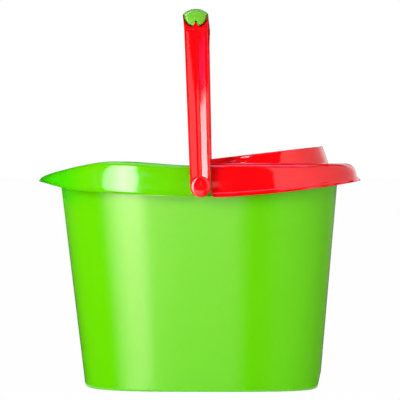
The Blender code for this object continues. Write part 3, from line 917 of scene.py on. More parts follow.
    def build_bosses(self, shop: Workshop) -> None:
        """Make the two bored bosses that carry the pins.

        Args:
            shop: workshop that finishes the pieces.
        """
        root = self.wall_point(QUARTER, self.pivot[1]).y - self.wall / 2
        chamfer = self.boss_chamfer
        profile = [(self.bore_radius, root), (self.boss_radius, root),
                   (self.boss_radius, self.boss_face - chamfer),
                   (self.boss_radius - chamfer, self.boss_face),
                   (self.bore_radius + chamfer, self.boss_face),
                   (self.bore_radius, self.boss_face - chamfer)]
        centre = Vector((self.pivot[0], 0.0, self.pivot[1]))
        for side, word in SIDES:
            points = [(radius, side * along) for radius, along in profile]
            boss = shop.draft("pivot_boss_" + word, turned(points, centre, self.boss_steps, True))
            shop.finish(boss, Tone.GREEN, "bucket", "bucket_body")


@dataclass
class Wringer:
    """Red wringer: skirt over the collar, flange, raised hood and slotted basket."""

    bucket: BucketShell
    fit: float = 0.0003
    gap: float = 0.0006
    wall: float = 0.0022
    skirt_drop: float = 0.0007
    bead_height: float = 0.005
    bead_proud: float = 0.001
    skirt_start: float = 0.0149
    edge_x: float = -0.0067
    skirt_corner: float = 0.006
    tongue_depth: float = 0.0015
    divider_depth: float = 0.010
    divider_clearance: float = 0.003
    hood_start: float = -0.0002
    hood_length: float = 0.1521
    hood_width: float = 0.1918
    hood_lean_end: float = 0.0062
    hood_lean: float = 0.006
    hood_lean_side: float = 0.0029
    hood_low: float = 0.0042
    hood_high: float = 0.0205
    hood_crest: float = 0.005
    hood_round: float = 0.0014
    hood_brow: float = 0.0026
    hood_fillet: float = 0.0008
    hood_power: float = 2.9
    basket_power: float = 3.2
    basket_depth: float = 0.108
    basket_floor_length: float = 0.088
    basket_floor_width: float = 0.124
    basket_fillet: float = 0.005
    slot_count: int = 20
    slot_width: float = 0.004
    slot_top: float = 0.034
    slot_bottom: float = 0.014
    floor_slot_count: int = 5
    floor_slot_length: float = 0.066
    floor_slot_pitch: float = 0.010
    cut_depth: float = 0.034
    edge_round: float = 0.0006
    edge_steps: int = 3
    bead_steps: int = 9
    notch_steps: int = 8
    round_steps: int = 4
    wall_rows: int = 8
    columns: int = 288

    FLOOR_SCALES = (0.04, 0.5, 0.9)
    HOOD_ROWS = (0.2, 0.4, 0.6, 0.8)
    COUNTS = ("Slot Count", "Floor Slot Count")
    SIZES = ("Slot Width", "Slot Length", "Slot Level", "Basket Centre", "Half Length",
             "Half Width", "Power", "Cut Depth", "Floor Slot Length", "Floor Slot Pitch",
             "Floor Level")
    SLOT_ROUND = 0.49
    SLOT_ROUND_STEPS = 5
    SLOT_WELD = 1e-5

    def __post_init__(self) -> None:
        """Work out the heights that follow from the sizes."""
        self.under = self.bucket.rim_height + self.fit
        self.top = self.under + self.wall
        self.floor_under = self.top - self.basket_depth
        self.angles = plan_angles(self.columns)
        self.half_top = self.hood_length / 2 - (self.hood_lean + self.hood_lean_end) / 2
        self.basket_centre = self.hood_start + self.hood_lean + self.half_top

    def crest_level(self, x: float) -> float:
        """Height of the hood's sloping crest at a place along the basket."""
        share = (x + self.half_top) / (2 * self.half_top)
        return self.top + mix(self.hood_low, self.hood_high, share)

    def hood_ring(self, grow: float, share: float, level: Callable[[float], float]) -> Ring:
        """Ring of the hood's wall.

        Args:
            grow: distance outside the hood's outer face.
            share: 0 at the foot, 1 at the crest.
            level: height at a place along the hood.

        Returns:
            Points of the ring.
        """
        lean = mix(0.0, self.hood_lean + self.hood_lean_end, share)
        half_length = self.hood_length / 2 + grow - lean / 2
        half_width = self.hood_width / 2 + grow - self.hood_lean_side * share
        centre = self.hood_start - grow + mix(0.0, self.hood_lean, share) + half_length
        ring = []
        for angle in self.angles:
            point, _ = rounded_oval(angle, half_length, half_width, self.hood_power)
            ring.append(Vector((centre + point.x, point.y, level(point.x))))
        return ring

    def basket_form(self, share: float) -> Triple:
        """Form of the basket's inner face.

        Args:
            share: 0 at the floor, 1 at the mouth.

        Returns:
            Half length, half width and squareness.
        """
        mouth_length = 2 * self.half_top - 2 * self.hood_crest
        mouth_width = self.hood_width - 2 * self.hood_lean_side - 2 * self.hood_crest
        return (mix(self.basket_floor_length, mouth_length, share) / 2,
                mix(self.basket_floor_width, mouth_width, share) / 2,
                mix(self.basket_power, self.hood_power, share))

    def basket_ring(self, share: float, grow: float, level: Callable[[float], float],
                    scale: float = 1.0) -> Ring:
        """Ring of the basket's wall or floor.

        Args:
            share: 0 at the floor, 1 at the mouth.
            grow: distance outside the basket's inner face.
            level: height at a place along the basket.
            scale: size of the ring against the whole.

        Returns:
            Points of the ring.
        """
        half_length, half_width, power = self.basket_form(share)
        ring = []
        for angle in self.angles:
            point = rounded_oval(angle, half_length + grow, half_width + grow, power)[0] * scale
            ring.append(Vector((self.basket_centre + point.x, point.y, level(point.x))))
        return ring

    def skirt_rings(self) -> list[Ring]:
        """Rings of the skirt from the flange's underside round the beaded edge to the flange's top.

        Returns:
            The rings in order, each with a point for every plan angle.
        """
        shell = self.bucket
        outer_gap = self.gap + self.wall
        edge_round = self.edge_round
        columns = []
        for angle in self.angles:
            reach = shell.overhang(angle)
            edge = shell.wringer_edge(shell.wall_point(angle, shell.collar_base, reach).x)
            low = edge - self.skirt_drop
            inner = shell.collar_face(reach, edge, shell.rim_height, self.gap, self.fit)
            outer = shell.collar_face(
                reach, edge, shell.rim_height, outer_gap, self.fit + self.wall)
            rim = reach + outer_gap + self.bead_proud
            section = [(0.0, self.under)] + list(reversed(inner))
            section += [(reach + self.gap, low + edge_round), (reach + self.gap + edge_round, low)]
            for sine, cosine in quarter_round(self.edge_steps):
                section.append((rim - edge_round * (1 - sine), low + edge_round * (1 - cosine)))
            bead_top = low + self.bead_height
            rows = spread(low + 2 * edge_round, bead_top + edge_round, self.bead_steps)
            for height in rows:
                fade = ease((height - bead_top + 2 * edge_round) / (3 * edge_round))
                proud = self.bead_proud * (1 - fade)
                section.append((self.face_offset(outer, height) + proud, height))
            section += [point for point in outer if point[1] > bead_top + 2 * edge_round]
            columns.append((angle, section))
        count = min(len(section) for _, section in columns)
        rings: list[Ring] = [[] for _ in range(count)]
        for angle, section in columns:
            for ring, (offset, height) in zip(rings, self.thinned(section, count)):
                ring.append(shell.wall_point(angle, height, offset))
        return rings

    @staticmethod
    def thinned(section: list[Pair], count: int) -> list[Pair]:
        """Section cut to a count by leaving out points before its last one.

        Args:
            section: (offset, height) points.
            count: points to keep.

        Returns:
            The cut section.
        """
        extra = len(section) - count
        keep = len(section) - 1
        spare = keep - extra
        return section[:spare] + section[keep:] if extra else section

    @staticmethod
    def face_offset(face: list[Pair], height: float) -> float:
        """Offset of a face at a height, between its points.

        Args:
            face: (offset, height) points from the lower edge up.
            height: height to read at.

        Returns:
            The offset.
        """
        if height <= face[0][1]:
            return face[0][0]
        for low, high in zip(face, face[1:]):
            if low[1] <= height <= high[1]:
                return mix(low[0], high[0], (height - low[1]) / (high[1] - low[1]))
        return face[-1][0]

    def rings(self) -> list[Ring]:
        """Rings of the whole moulding.

        Returns:
            The rings in order, from under the basket's floor over the skirt to the floor's top.
        """
        corner = self.basket_fillet / self.basket_depth
        floor_top = self.floor_under + self.wall
        slope = self.crest_level
        basket, hood = self.basket_ring, self.hood_ring
        bend = [(1 - sine, 1 - cosine) for sine, cosine in quarter_round(self.round_steps)]
        sides = spread(corner, 1.0, self.wall_rows)[1:-1]
        rings = [basket(0.0, self.wall, lambda x: self.floor_under, scale)
                 for scale in self.FLOOR_SCALES]
        for out, up in bend:
            level = self.floor_under + self.basket_fillet * up
            rings.append(basket(corner, self.wall - self.basket_fillet * out, lambda x, z=level: z))
        for share in sides:
            level = mix(self.floor_under, self.top, share)
            rings.append(basket(share, self.wall, lambda x, z=level: z))
        rings.append(basket(1.0, self.wall, lambda x: slope(x) - self.wall))
        rings.append(hood(-self.wall, 1.0, lambda x: slope(x) - self.wall))
        rings.append(hood(-self.wall, 0.0, lambda x: self.under))
        rings += self.skirt_rings()
        for out, up in bend:
            rise = self.hood_fillet * up
            level = self.top + rise
            rings.append(hood(self.hood_fillet * out, rise / self.hood_high, lambda x, z=level: z))
        for share in self.HOOD_ROWS:
            rings.append(hood(0.0, share, lambda x, s=share: mix(
                self.top + self.hood_fillet, slope(x) - self.hood_brow, s)))
        for out, up in bend:
            drop = self.hood_brow * out
            rings.append(hood(-self.hood_brow * up, 1.0, lambda x, d=drop: slope(x) - d))
        for out, up in bend:
            drop = self.hood_round * up
            rings.append(basket(1.0, self.hood_round * out, lambda x, d=drop: slope(x) - d))
        for share in reversed(sides):
            level = mix(floor_top, self.top, share)
            rings.append(basket(share, 0.0, lambda x, z=level: z))
        for out, up in bend:
            level = floor_top + self.basket_fillet * out
            rings.append(basket(corner, -self.basket_fillet * up, lambda x, z=level: z))
        return rings + [basket(0.0, -self.wall, lambda x: floor_top, scale)
                        for scale in reversed(self.FLOOR_SCALES)]

    def open_end(self) -> Shape:
        """Space over the pouring end, which the wringer leaves open.

        Returns:
            The closed shape.
        """
        far = -2 * self.bucket.mouth_length
        above = self.top + self.hood_high
        outline = [(far, 0.0), (self.edge_x, 0.0), (self.edge_x, above), (far, above)]
        return prism(outline, -self.bucket.mouth_width, self.bucket.mouth_width)

    def divider_half(self) -> float:
        """Half the length of the divider's lip, clear of the bucket's walls."""
        wall = self.bucket.wall_point(QUARTER, self.under - self.divider_depth).y
        return wall - self.bucket.wall - self.divider_clearance

    def arm_notch(self, side: int) -> Shape:
        """Notch in the skirt on one side, in which the bail's arm swings.

        Args:
            side: -1 at the front, 1 at the back.

        Returns:
            The closed shape.
        """
        corner = self.skirt_corner
        low = self.bucket.wringer_edge(self.skirt_start) - self.skirt_drop
        outline = [(self.edge_x - corner, low - corner), (self.skirt_start + corner, low - corner)]
        for sine, cosine in quarter_round(self.notch_steps):
            outline.append((self.skirt_start + corner * (1 - sine), low + corner * (1 - cosine)))
        tongue = self.bucket.rim_height - self.tongue_depth
        outline += [(self.skirt_start, tongue), (self.edge_x - corner, tongue)]
        return prism(outline, *sorted((side * self.divider_half(), side * self.bucket.mouth_width)))

    def divider_lip(self) -> Shape:
        """Lip that stiffens the straight edge across the bucket's mouth.

        Returns:
            The closed shape.
        """
        top = self.top - self.fit
        low = self.under - self.divider_depth
        start = self.edge_x + self.fit
        outline = [(start, low), (start + self.wall, low), (start + self.wall, top), (start, top)]
        return prism(outline, -self.divider_half(), self.divider_half())

    def slot_tree(self) -> Tree:
        """Geometry tree that cuts drain slots round the basket's wall and across its floor.

        Returns:
            The finished tree.
        """
        job = GeometryTree("drain_slots")
        board = job.board
        count, floor_count = (job.size(name, "NodeSocketInt") for name in self.COUNTS)
        (width, length, level, centre, half_length, half_width, power, depth,
         floor_length, pitch, floor_level) = (job.size(name) for name in self.SIZES)

        def cutter(run: Wire) -> Wire:
            """Round-ended bar of one slot, standing on its outline and as deep as the cut.

            Args:
                run: length of the slot.

            Returns:
                Wire of the bar.
            """
            outline = board.wire("GeometryNodeCurvePrimitiveQuadrilateral", None, {
                "Width": width, "Height": run})
            rounded = board.wire("GeometryNodeFilletCurve", {"mode": "POLY"}, {
                "Curve": outline, "Count": self.SLOT_ROUND_STEPS,
                "Radius": width * self.SLOT_ROUND})
            face = board.wire("GeometryNodeFillCurve", {"mode": "NGONS"}, {"Curve": rounded})
            raised = board.wire("GeometryNodeExtrudeMesh", None, {
                "Mesh": face, "Offset Scale": depth})
            under = board.wire("GeometryNodeFlipFaces", None, {"Mesh": face})
            both = board.wire("GeometryNodeJoinGeometry", None, {"Geometry": [raised, under]})
            return board.wire("GeometryNodeMergeByDistance", None, {
                "Geometry": both, "Distance": self.SLOT_WELD})

        index = board.wire("GeometryNodeInputIndex")
        angle = (index + 0.5) / count * TAU
        x, y, normal_x, normal_y = oval_rule(board, angle, half_length, half_width, power)
        back = depth * 0.5
        place = board.wire("ShaderNodeCombineXYZ", None, {
            "X": centre + x - normal_x * back, "Y": y - normal_y * back, "Z": level})
        heading = board.math("ARCTAN2", normal_y, normal_x) + QUARTER
        facing = board.wire("ShaderNodeCombineXYZ", None, {"X": QUARTER, "Z": heading})
        spots = board.wire("GeometryNodePoints", None, {"Count": count, "Position": place})
        wall_slots = board.wire("GeometryNodeInstanceOnPoints", None, {
            "Points": spots, "Instance": cutter(length), "Rotation": facing})
        first = centre - pitch * (floor_count - 1.0) * 0.5
        line_place = board.wire("ShaderNodeCombineXYZ", None, {
            "X": first + pitch * index, "Z": floor_level - back})
        line = board.wire("GeometryNodePoints", None, {
            "Count": floor_count, "Position": line_place})
        floor_slots = board.wire("GeometryNodeInstanceOnPoints", None, {
            "Points": line, "Instance": cutter(floor_length)})
        cuts = board.wire("GeometryNodeJoinGeometry", None, {"Geometry": [wall_slots, floor_slots]})
        solid = board.wire("GeometryNodeRealizeInstances", None, {"Geometry": cuts})
        settings = {"operation": "DIFFERENCE", "solver": "EXACT"}
        cut = board.wire("GeometryNodeMeshBoolean", settings, {
            "Mesh 1": job.geometry(), "Mesh 2": solid})
        return job.close(cut)

    def build(self, shop: Workshop) -> None:
        """Make the wringer.

        Args:
            shop: workshop that finishes the piece.
        """
        item = shop.draft("wringer_moulding", skin(self.rings()))
        shop.carve(item, self.open_end(), "DIFFERENCE")
        for side in (-1, 1):
            shop.carve(item, self.arm_notch(side), "DIFFERENCE")
        shop.carve(item, self.divider_lip(), "UNION")
        height = self.basket_depth
        middle = (self.slot_bottom + height - self.slot_top) / 2
        length = height - self.slot_top - self.slot_bottom
        sizes = (self.slot_width, length, self.floor_under + middle, self.basket_centre,
                 *self.basket_form(middle / height), self.cut_depth, self.floor_slot_length,
                 self.floor_slot_pitch, self.floor_under)
        shop.grow(item, self.slot_tree(), {
            **dict(zip(self.COUNTS, (self.slot_count, self.floor_slot_count))),
            **dict(zip(self.SIZES, sizes)), "Plastic": shop.plastics[Tone.RED]})
        shop.finish(item, Tone.RED, "wringer_unit", "wringer")


@dataclass(frozen=True)
class ArmPocket:
    """Form of the long pocket on one side of an arm's rib."""

    tilt_top: float
    bow: float
    rim: float
    rim_draft: float
    rib_draft: float


@dataclass
class BailHandle:
    """Red bail: two ribbed channel arms with eyes and the trough of the top bar."""

    pivot: Pair = (0.0028, 0.2354)
    lean: float = math.radians(1.65)
    fit: float = 0.0003
    inner: float = 0.12747
    depth: float = 0.0115
    eye_radius: float = 0.0115
    hole_radius: float = 0.0053
    arm_top_width: float = 0.0262
    bar_width: float = 0.0285
    rib: float = 0.0026
    back_rib: float = 0.0030
    pocket_depth: float = 0.0024
    web: float = 0.0030
    back_start: float = 0.0160
    seat_radius: float = 0.0118
    brim: float = 0.0005
    pocket_end: float = 0.0180
    corner: float = 0.1930
    trough_wall: float = 0.0032
    lens_width: float = 0.0258
    lens_crown: float = 0.0057
    lens_belly: float = 0.0138
    keel_width: float = 0.0052
    keel_height: float = 0.0045
    keel_tip: float = 0.0005
    keel_room: float = 1.2
    notch_height: float = 0.0062
    end_gap: float = 0.0018
    end_depth: float = 0.0110
    edge_round: float = 0.0006
    panel_sink: float = 0.0007
    panel_draft: float = 0.0003
    tilt_low: float = math.radians(12.0)
    right_pocket: ArmPocket = ArmPocket(
        math.radians(4.2), math.radians(1.0), 0.0024, 0.0010, 0.0010)
    left_pocket: ArmPocket = ArmPocket(
        math.radians(7.4), math.radians(3.5), 0.0017, 0.0004, 0.0019)
    eye_start: float = 0.06
    eye_steps: int = 16
    seat_steps: int = 10
    pocket_steps: int = 24
    shoulder_steps: int = 6
    floor_steps: int = 6
    lens_steps: int = 28
    bore_steps: int = 48

    def __post_init__(self) -> None:
        """Work out the outer face and the turn that leans the bail."""
        self.outer = self.inner + self.depth
        self.shoulder = self.corner - self.pocket_end
        stand = Matrix.Translation((self.pivot[0], 0.0, self.pivot[1]))
        self.place = stand @ Matrix.Rotation(-self.lean, 4, "Y")

    def half_width(self, level: float) -> float:
        """Half the arm's width at a level.

        Args:
            level: height above the pivot.

        Returns:
            The half width.
        """
        if level < 0:
            return math.sqrt(max(self.eye_radius ** 2 - level ** 2, 0.0))
        if level <= self.shoulder:
            return mix(self.eye_radius, self.arm_top_width / 2, level / self.shoulder)
        share = (level - self.shoulder) / self.pocket_end
        return mix(self.arm_top_width / 2, self.bar_width / 2, share)

    def outer_half(self, level: float, opened: float, sink: float, pocket: ArmPocket) -> list[Pair]:
        """Half of the arm's outer face at a level, from the middle rib to the outer corner.

        Args:
            level: height above the pivot.
            opened: 0 for a closed face, 1 for the full pocket.
            sink: depth of a plain sunk panel.
            pocket: form of the pocket on this side.

        Returns:
            (distance from the middle, depth below the outer face) points.
        """
        half = self.half_width(level)
        edge = max(half - pocket.rim, pocket.rim)
        seat = math.sqrt(max(self.seat_radius ** 2 - level ** 2, 0.0)) if opened else 0.0
        limit = edge - pocket.rib_draft - pocket.rim_draft - self.edge_round
        rib = min(max(self.rib / 2, seat), limit)
        tilt = mix(self.tilt_low, pocket.tilt_top, min(max(level / self.shoulder, 0.0), 1.0))
        start = rib + mix(self.panel_draft, pocket.rib_draft, opened)
        end = edge - mix(self.panel_draft, pocket.rim_draft, opened)
        run = (end - start) / self.floor_steps
        depth = self.pocket_depth - (rib - self.rib / 2) * math.tan(tilt)
        floor = [(start, depth)]
        for step in range(self.floor_steps):
            slope = tilt + pocket.bow * ((step + 0.5) / self.floor_steps - 0.5)
            depth -= run * math.tan(slope)
            floor.append((start + run * (step + 1), depth))
        points = [(rib, 0.0)] + [(x, y * opened + sink) for x, y in floor]
        return points + [(edge, 0.0), (half - self.edge_round, 0.0), (half, self.edge_round)]

    def inner_half(self, level: float, opened: float) -> list[Pair]:
        """Right half of the arm's inner face at a level, from the outer corner to the middle rib.

        Args:
            level: height above the pivot.
            opened: 0 for a closed face, 1 for the full hollow.

        Returns:
            (distance from the middle, depth below the outer face) points.
        """
        half = self.half_width(level)
        edge = max(half - self.back_rib, self.back_rib)
        rib = self.back_rib / 2
        back = self.depth
        hollow = back - (back - self.pocket_depth - self.web) * opened
        small = self.edge_round
        return [(half, back - small), (half - small, back), (edge + small / 2, back),
                (edge, hollow), (rib, hollow), (rib - small / 2, back)]

    def arm_section(self, level: float, opened: float, sink: float, hollow: float) -> list[Pair]:
        """Closed section of an arm at a level.

        Args:
            level: height above the pivot.
            opened: 0 for a closed outer face, 1 for the full pockets.
            sink: depth of a plain sunk panel.
            hollow: 0 for a closed inner face, 1 for the full hollow.

        Returns:
            (x, depth below the outer face) points.
        """
        inner = self.inner_half(level, hollow)
        right = self.outer_half(level, opened, sink, self.right_pocket) + inner
        left = self.outer_half(level, opened, sink, self.left_pocket) + inner
        return right + [(-x, y) for x, y in reversed(left)]

    def arm(self, side: int) -> Shape:
        """One arm, stacked from sections between the bottom of its eye and the bar's corner.

        Args:
            side: -1 at the front, 1 at the back.

        Returns:
            The closed shape.
        """
        step = self.edge_round
        low = math.sqrt(max(self.seat_radius ** 2 - (self.eye_radius - self.back_rib) ** 2, 0.0))
        turns = spread(self.eye_start, QUARTER, self.eye_steps)
        levels = [-self.eye_radius * math.cos(turn) for turn in turns]
        levels += [low - step] + spread(low, self.seat_radius, self.seat_steps)
        levels += [self.back_start - step]
        levels += spread(self.back_start, self.shoulder - 2 * step, self.pocket_steps)
        levels += [self.shoulder - step, self.shoulder + step]
        levels += spread(self.shoulder + 2 * step, self.corner, self.shoulder_steps)
        rings = []
        for level in levels:
            opened = float(low <= level < self.shoulder - 1.5 * step)
            hollow = float(self.back_start <= level < self.shoulder - 1.5 * step)
            sink = self.panel_sink * float(level > self.shoulder + 1.5 * step)
            section = self.arm_section(level, opened, sink, hollow)
            rings.append([(x, side * (self.outer - y), level) for x, y in section])
        return outward(skin(rings))

    def lens_arc(self, half: float, rise: float, start: float, end: float) -> list[Pair]:
        """Shallow arc over the chord at the bar's corners.

        Args:
            half: half the chord.
            rise: height over the chord, negative for an arc below it.
            start: share of the half chord at the first point.
            end: share of the half chord at the last point.

        Returns:
            (x, height above the pivot) points.
        """
        radius = (half * half + rise * rise) / (2 * abs(rise))
        points = []
        for share in spread(start, end, self.lens_steps):
            x = half * share
            level = math.sqrt(radius * radius - x * x) - (radius - abs(rise))
            points.append((x, self.corner + math.copysign(level, rise)))
        return points

    def half_bar(self) -> float:
        """Half the bar's width, just inside the arms' outer corners."""
        return self.bar_width / 2 - self.edge_round / 4

    def trough_half(self, room: float) -> float:
        """Half the width of the trough's mouth, which takes a third of the room round the grip."""
        return self.lens_width / 2 + self.fit + room / 3

    def trough(self, room: float = 0.0) -> list[Pair]:
        """Inner outline of the trough from +X to -X, with the keel that holds the grip.

        Args:
            room: distance added round the grip.

        Returns:
            (x, height above the pivot) points.
        """
        half = self.trough_half(room)
        foot = self.keel_width / 2 + self.keel_room * room
        right = self.lens_arc(half, -self.lens_belly - self.fit - room, 1.0, foot / half)
        left = [(-x, z) for x, z in reversed(right)]
        tip = right[-1][1] + self.keel_height + room
        return right + [(self.keel_tip, tip), (-self.keel_tip, tip)] + left

    def cavity(self, room: float) -> list[Pair]:
        """Section of the space that the grip lies in.

        Args:
            room: distance added round the grip.

        Returns:
            (x, height above the pivot) points.
        """
        above = self.corner + self.lens_crown
        reach = self.trough_half(room)
        ledge = self.corner - self.brim
        section = [point for point in self.trough(room) if point[1] < ledge]
        section += [(-reach, ledge), (-self.bar_width, ledge), (-self.bar_width, above)]
        return section + [(self.bar_width, above), (self.bar_width, ledge), (reach, ledge)]

    def build(self, shop: Workshop) -> None:
        """Make the bail.

        Args:
            shop: workshop that finishes the piece.
        """
        belly = -self.lens_belly - self.fit - self.trough_wall
        under = self.lens_arc(self.half_bar(), belly, 1.0, -1.0)
        middle = (self.inner + self.outer) / 2
        item = shop.draft("bail_moulding", prism(under, -middle, middle))
        for side in (-1, 1):
            shop.carve(item, self.arm(side), "UNION")
        shop.carve(item, prism(self.cavity(0.0), -2 * self.outer, 2 * self.outer), "DIFFERENCE")
        for side in (-1, 1):
            ends = sorted((side * (self.outer - self.end_depth), side * 2 * self.outer))
            shop.carve(item, prism(self.cavity(self.end_gap), *ends), "DIFFERENCE")
            bore = [(self.hole_radius, side * (self.inner - self.depth)),
                    (self.hole_radius, side * (self.outer + self.depth))]
            shop.carve(item, turned(bore, Vector(), self.bore_steps), "DIFFERENCE")
        item.data.transform(self.place)
        shop.finish(item, Tone.RED, "bail", "bail_handle")


@dataclass
class HandleGrip:
    """Green grip of lens section, swept along the trough of the bail's bar."""

    bail: BailHandle
    brim_drop: float = 0.0002
    end_round: float = 0.0030
    end_shrink: float = 0.28
    end_low: float = 0.60
    end_steps: int = 8

    def outline(self) -> list[Pair]:
        """Lens with the notch over the keel, about the line that it is swept along.

        Returns:
            Points across and below that line, in the sweep's own directions.
        """
        bail = self.bail
        half = bail.lens_width / 2
        mouth = bail.keel_width / 2 + bail.fit
        right = bail.lens_arc(half, -bail.lens_belly, 1.0, mouth / half)
        apex = right[-1][1] + bail.notch_height
        right[0] = (half, bail.corner - self.brim_drop)
        left = [(-x, z) for x, z in reversed(right)]
        rise = bail.lens_crown + self.brim_drop
        arc = bail.lens_arc(bail.half_bar(), rise, -1.0, 1.0)
        crown = [(x, z - self.brim_drop) for x, z in arc]
        notch = [(bail.keel_tip + bail.fit, apex), (-bail.keel_tip - bail.fit, apex)]
        line = self.sweep_level()
        return [(-x, line - z) for x, z in right + notch + left + crown]

    def sweep_level(self) -> float:
        """Height of the line that the lens is swept along and that its ends close in to."""
        return self.bail.corner - self.end_low * self.bail.lens_belly

    def sweep_tree(self) -> Tree:
        """Geometry tree that sweeps a profile object along a path with a scale on its points.

        Returns:
            The finished tree.
        """
        job = GeometryTree("swept_grip")
        board = job.board
        profile = job.size("Profile", "NodeSocketObject")
        section = board.wire("GeometryNodeObjectInfo", None, {"Object": profile}, "Geometry")
        ring = board.wire("GeometryNodeMeshToCurve", None, {"Mesh": section})
        path = board.wire("GeometryNodeMeshToCurve", None, {"Mesh": job.geometry()})
        scale = job.attribute("end_scale")
        sized = board.wire("GeometryNodeSetCurveRadius", None, {"Curve": path, "Radius": scale})
        return job.close(board.wire("GeometryNodeCurveToMesh", None, {
            "Curve": sized, "Profile Curve": ring, "Scale": scale, "Fill Caps": True}))

    @staticmethod
    def wire_line(points: Sequence[Triple], closed: bool) -> Shape:
        """Edge through points.

        Args:
            points: points in order.
            closed: join the last point to the first.

        Returns:
            The edit mesh.
        """
        line = bmesh.new()
        spots = [line.verts.new(point) for point in points]
        for before, after in zip(spots, spots[1:] + spots[:1] if closed else spots[1:]):
            line.edges.new((before, after))
        return line

    def build(self, shop: Workshop) -> None:
        """Make the grip.

        Args:
            shop: workshop that finishes the piece.
        """
        end = self.bail.outer - self.bail.fit
        stations = []
        for sine, cosine in quarter_round(self.end_steps):
            place = -end + self.end_round * (1 - cosine)
            stations.append((place, 1 - self.end_shrink * (1 - sine)))
        stations += [(-place, scale) for place, scale in reversed(stations)]
        path = [(0.0, place, 0.0) for place, _ in stations]
        item = shop.draft("grip_insert", self.wire_line(path, False))
        shop.note(item, "end_scale", [scale for _, scale in stations])
        loop = [(x, z, 0.0) for x, z in self.outline()]
        profile = shop.draft("grip_profile", self.wire_line(loop, True))
        shop.grow(item, self.sweep_tree(), {"Profile": profile, "Plastic": shop.soft_grip})
        bpy.data.objects.remove(profile)
        item.data.transform(self.bail.place @ Matrix.Translation((0.0, 0.0, self.sweep_level())))
        shape = bmesh.new()
        shape.from_mesh(item.data)
        outward(shape, True).to_mesh(item.data)
        shape.free()
        shop.finish(item, Tone.GREEN, "bail", "handle_grip", finish=shop.soft_grip)


@dataclass
class PivotPins:
    """Red push-in pins with domed heads over the bail's eyes."""

    bail: BailHandle
    radius: float = 0.0050
    head_radius: float = 0.0115
    head_height: float = 0.0032
    head_edge: float = 0.0012
    crown_power: float = 3.4
    length: float = 0.0250
    taper: float = 0.0012
    head_chamfer: float = 0.0002
    crown_steps: int = 22
    steps: int = 72

    def build(self, shop: Workshop) -> None:
        """Make the front and the back pin.

        Args:
            shop: workshop that finishes the pieces.
        """
        seat = self.bail.outer + self.bail.fit
        tip = seat - self.length
        edge = self.head_chamfer
        profile = [(self.radius - self.taper, tip), (self.radius, tip + 2 * self.taper),
                   (self.radius, seat), (self.head_radius - edge, seat),
                   (self.head_radius, seat + edge)]
        crown = self.head_height - self.head_edge
        for turn in spread(0.0, QUARTER, self.crown_steps)[:-1]:
            share = math.cos(turn) ** (2 / self.crown_power)
            rise = crown * math.sin(turn)
            profile.append((self.head_radius * share, seat + self.head_edge + rise))
        centre = Vector((self.bail.pivot[0], 0.0, self.bail.pivot[1]))
        for side, word in SIDES:
            points = [(radius, side * along) for radius, along in profile]
            pin = shop.draft("pin_" + word, turned(points, centre, self.steps))
            shop.finish(pin, Tone.RED, "bucket", "pivot_pin_" + word)


def around(bearing: float, distance: float) -> Pair:
    """Place on the floor in a bearing in degrees from the object, 0 towards the camera."""
    turn = math.radians(bearing)
    return distance * math.sin(turn), -distance * math.cos(turn)


@dataclass(frozen=True)
class SoftBox:
    """A studio lamp: a lit rectangle that faces the object."""

    name: str
    bearing: float
    distance: float
    height: float
    width: float
    tall: float
    radiance: float

    def build(self, target: Vector) -> None:
        """Hang the lamp.

        Args:
            target: point that it faces.
        """
        lamp = bpy.data.lights.new(self.name, "AREA")
        lamp.shape = "RECTANGLE"
        lamp.size = self.width
        lamp.size_y = self.tall
        lamp.energy = self.radiance * math.pi * self.width * self.tall
        item = bpy.data.objects.new(self.name, lamp)
        item.location = (*around(self.bearing, self.distance), self.height)
        item.rotation_euler = (target - item.location).to_track_quat("-Z", "Y").to_euler()
        item.visible_glossy = False
        bpy.context.scene.collection.objects.link(item)


@dataclass(frozen=True)
class GlowColumn:
    """One line of a reflector from its near to its far end, with the light of each end."""

    near: Triple
    far: Triple
    near_glow: Triple
    far_glow: Triple


@dataclass(frozen=True)
class Reflector:
    """A studio reflector that only glossy rays see, with a light that changes from line to line."""

    name: str
    columns: tuple[GlowColumn, ...]

    @classmethod
    def standing(cls, name: str, low: float, high: float,
                 feet: Sequence[tuple[float, float, Any]]) -> "Reflector":
        """Upright sheet.

        Args:
            name: name of the sheet.
            low: height of its lower edge.
            high: height of its upper edge.
            feet: places along it, each an x, a y and a level or a colour of light.

        Returns:
            The reflector.
        """
        columns = []
        for x, y, light in feet:
            glow = light if isinstance(light, tuple) else (light,) * 3
            columns.append(GlowColumn((x, y, low), (x, y, high), glow, glow))
        return cls(name, tuple(columns))

    @classmethod
    def lying(cls, name: str, level: float, start: Pair, end: Pair, glow: Triple) -> "Reflector":
        """Level rectangle between two corners, in one light."""
        return cls(name, tuple(GlowColumn((x, start[1], level), (x, end[1], level), glow, glow)
                               for x in (start[0], end[0])))

    def build(self, material: Material) -> None:
        """Stretch the sheet between its lines.

        Args:
            material: light that reads the sheet's own glow.
        """
        shape = bmesh.new()
        layer = shape.verts.layers.float_color.new("glow")
        pairs = []
        for column in self.columns:
            pairs.append((shape.verts.new(column.near), shape.verts.new(column.far)))
            for corner, glow in zip(pairs[-1], (column.near_glow, column.far_glow)):
                corner[layer] = (*glow, 1.0)
        for left, right in zip(pairs, pairs[1:]):
            shape.faces.new((left[0], right[0], right[1], left[1]))
        item = Workshop.draft(self.name, shape)
        item.data.materials.append(material)
        item.visible_camera = False
        item.visible_diffuse = False
        item.visible_transmission = False
        item.visible_shadow = False


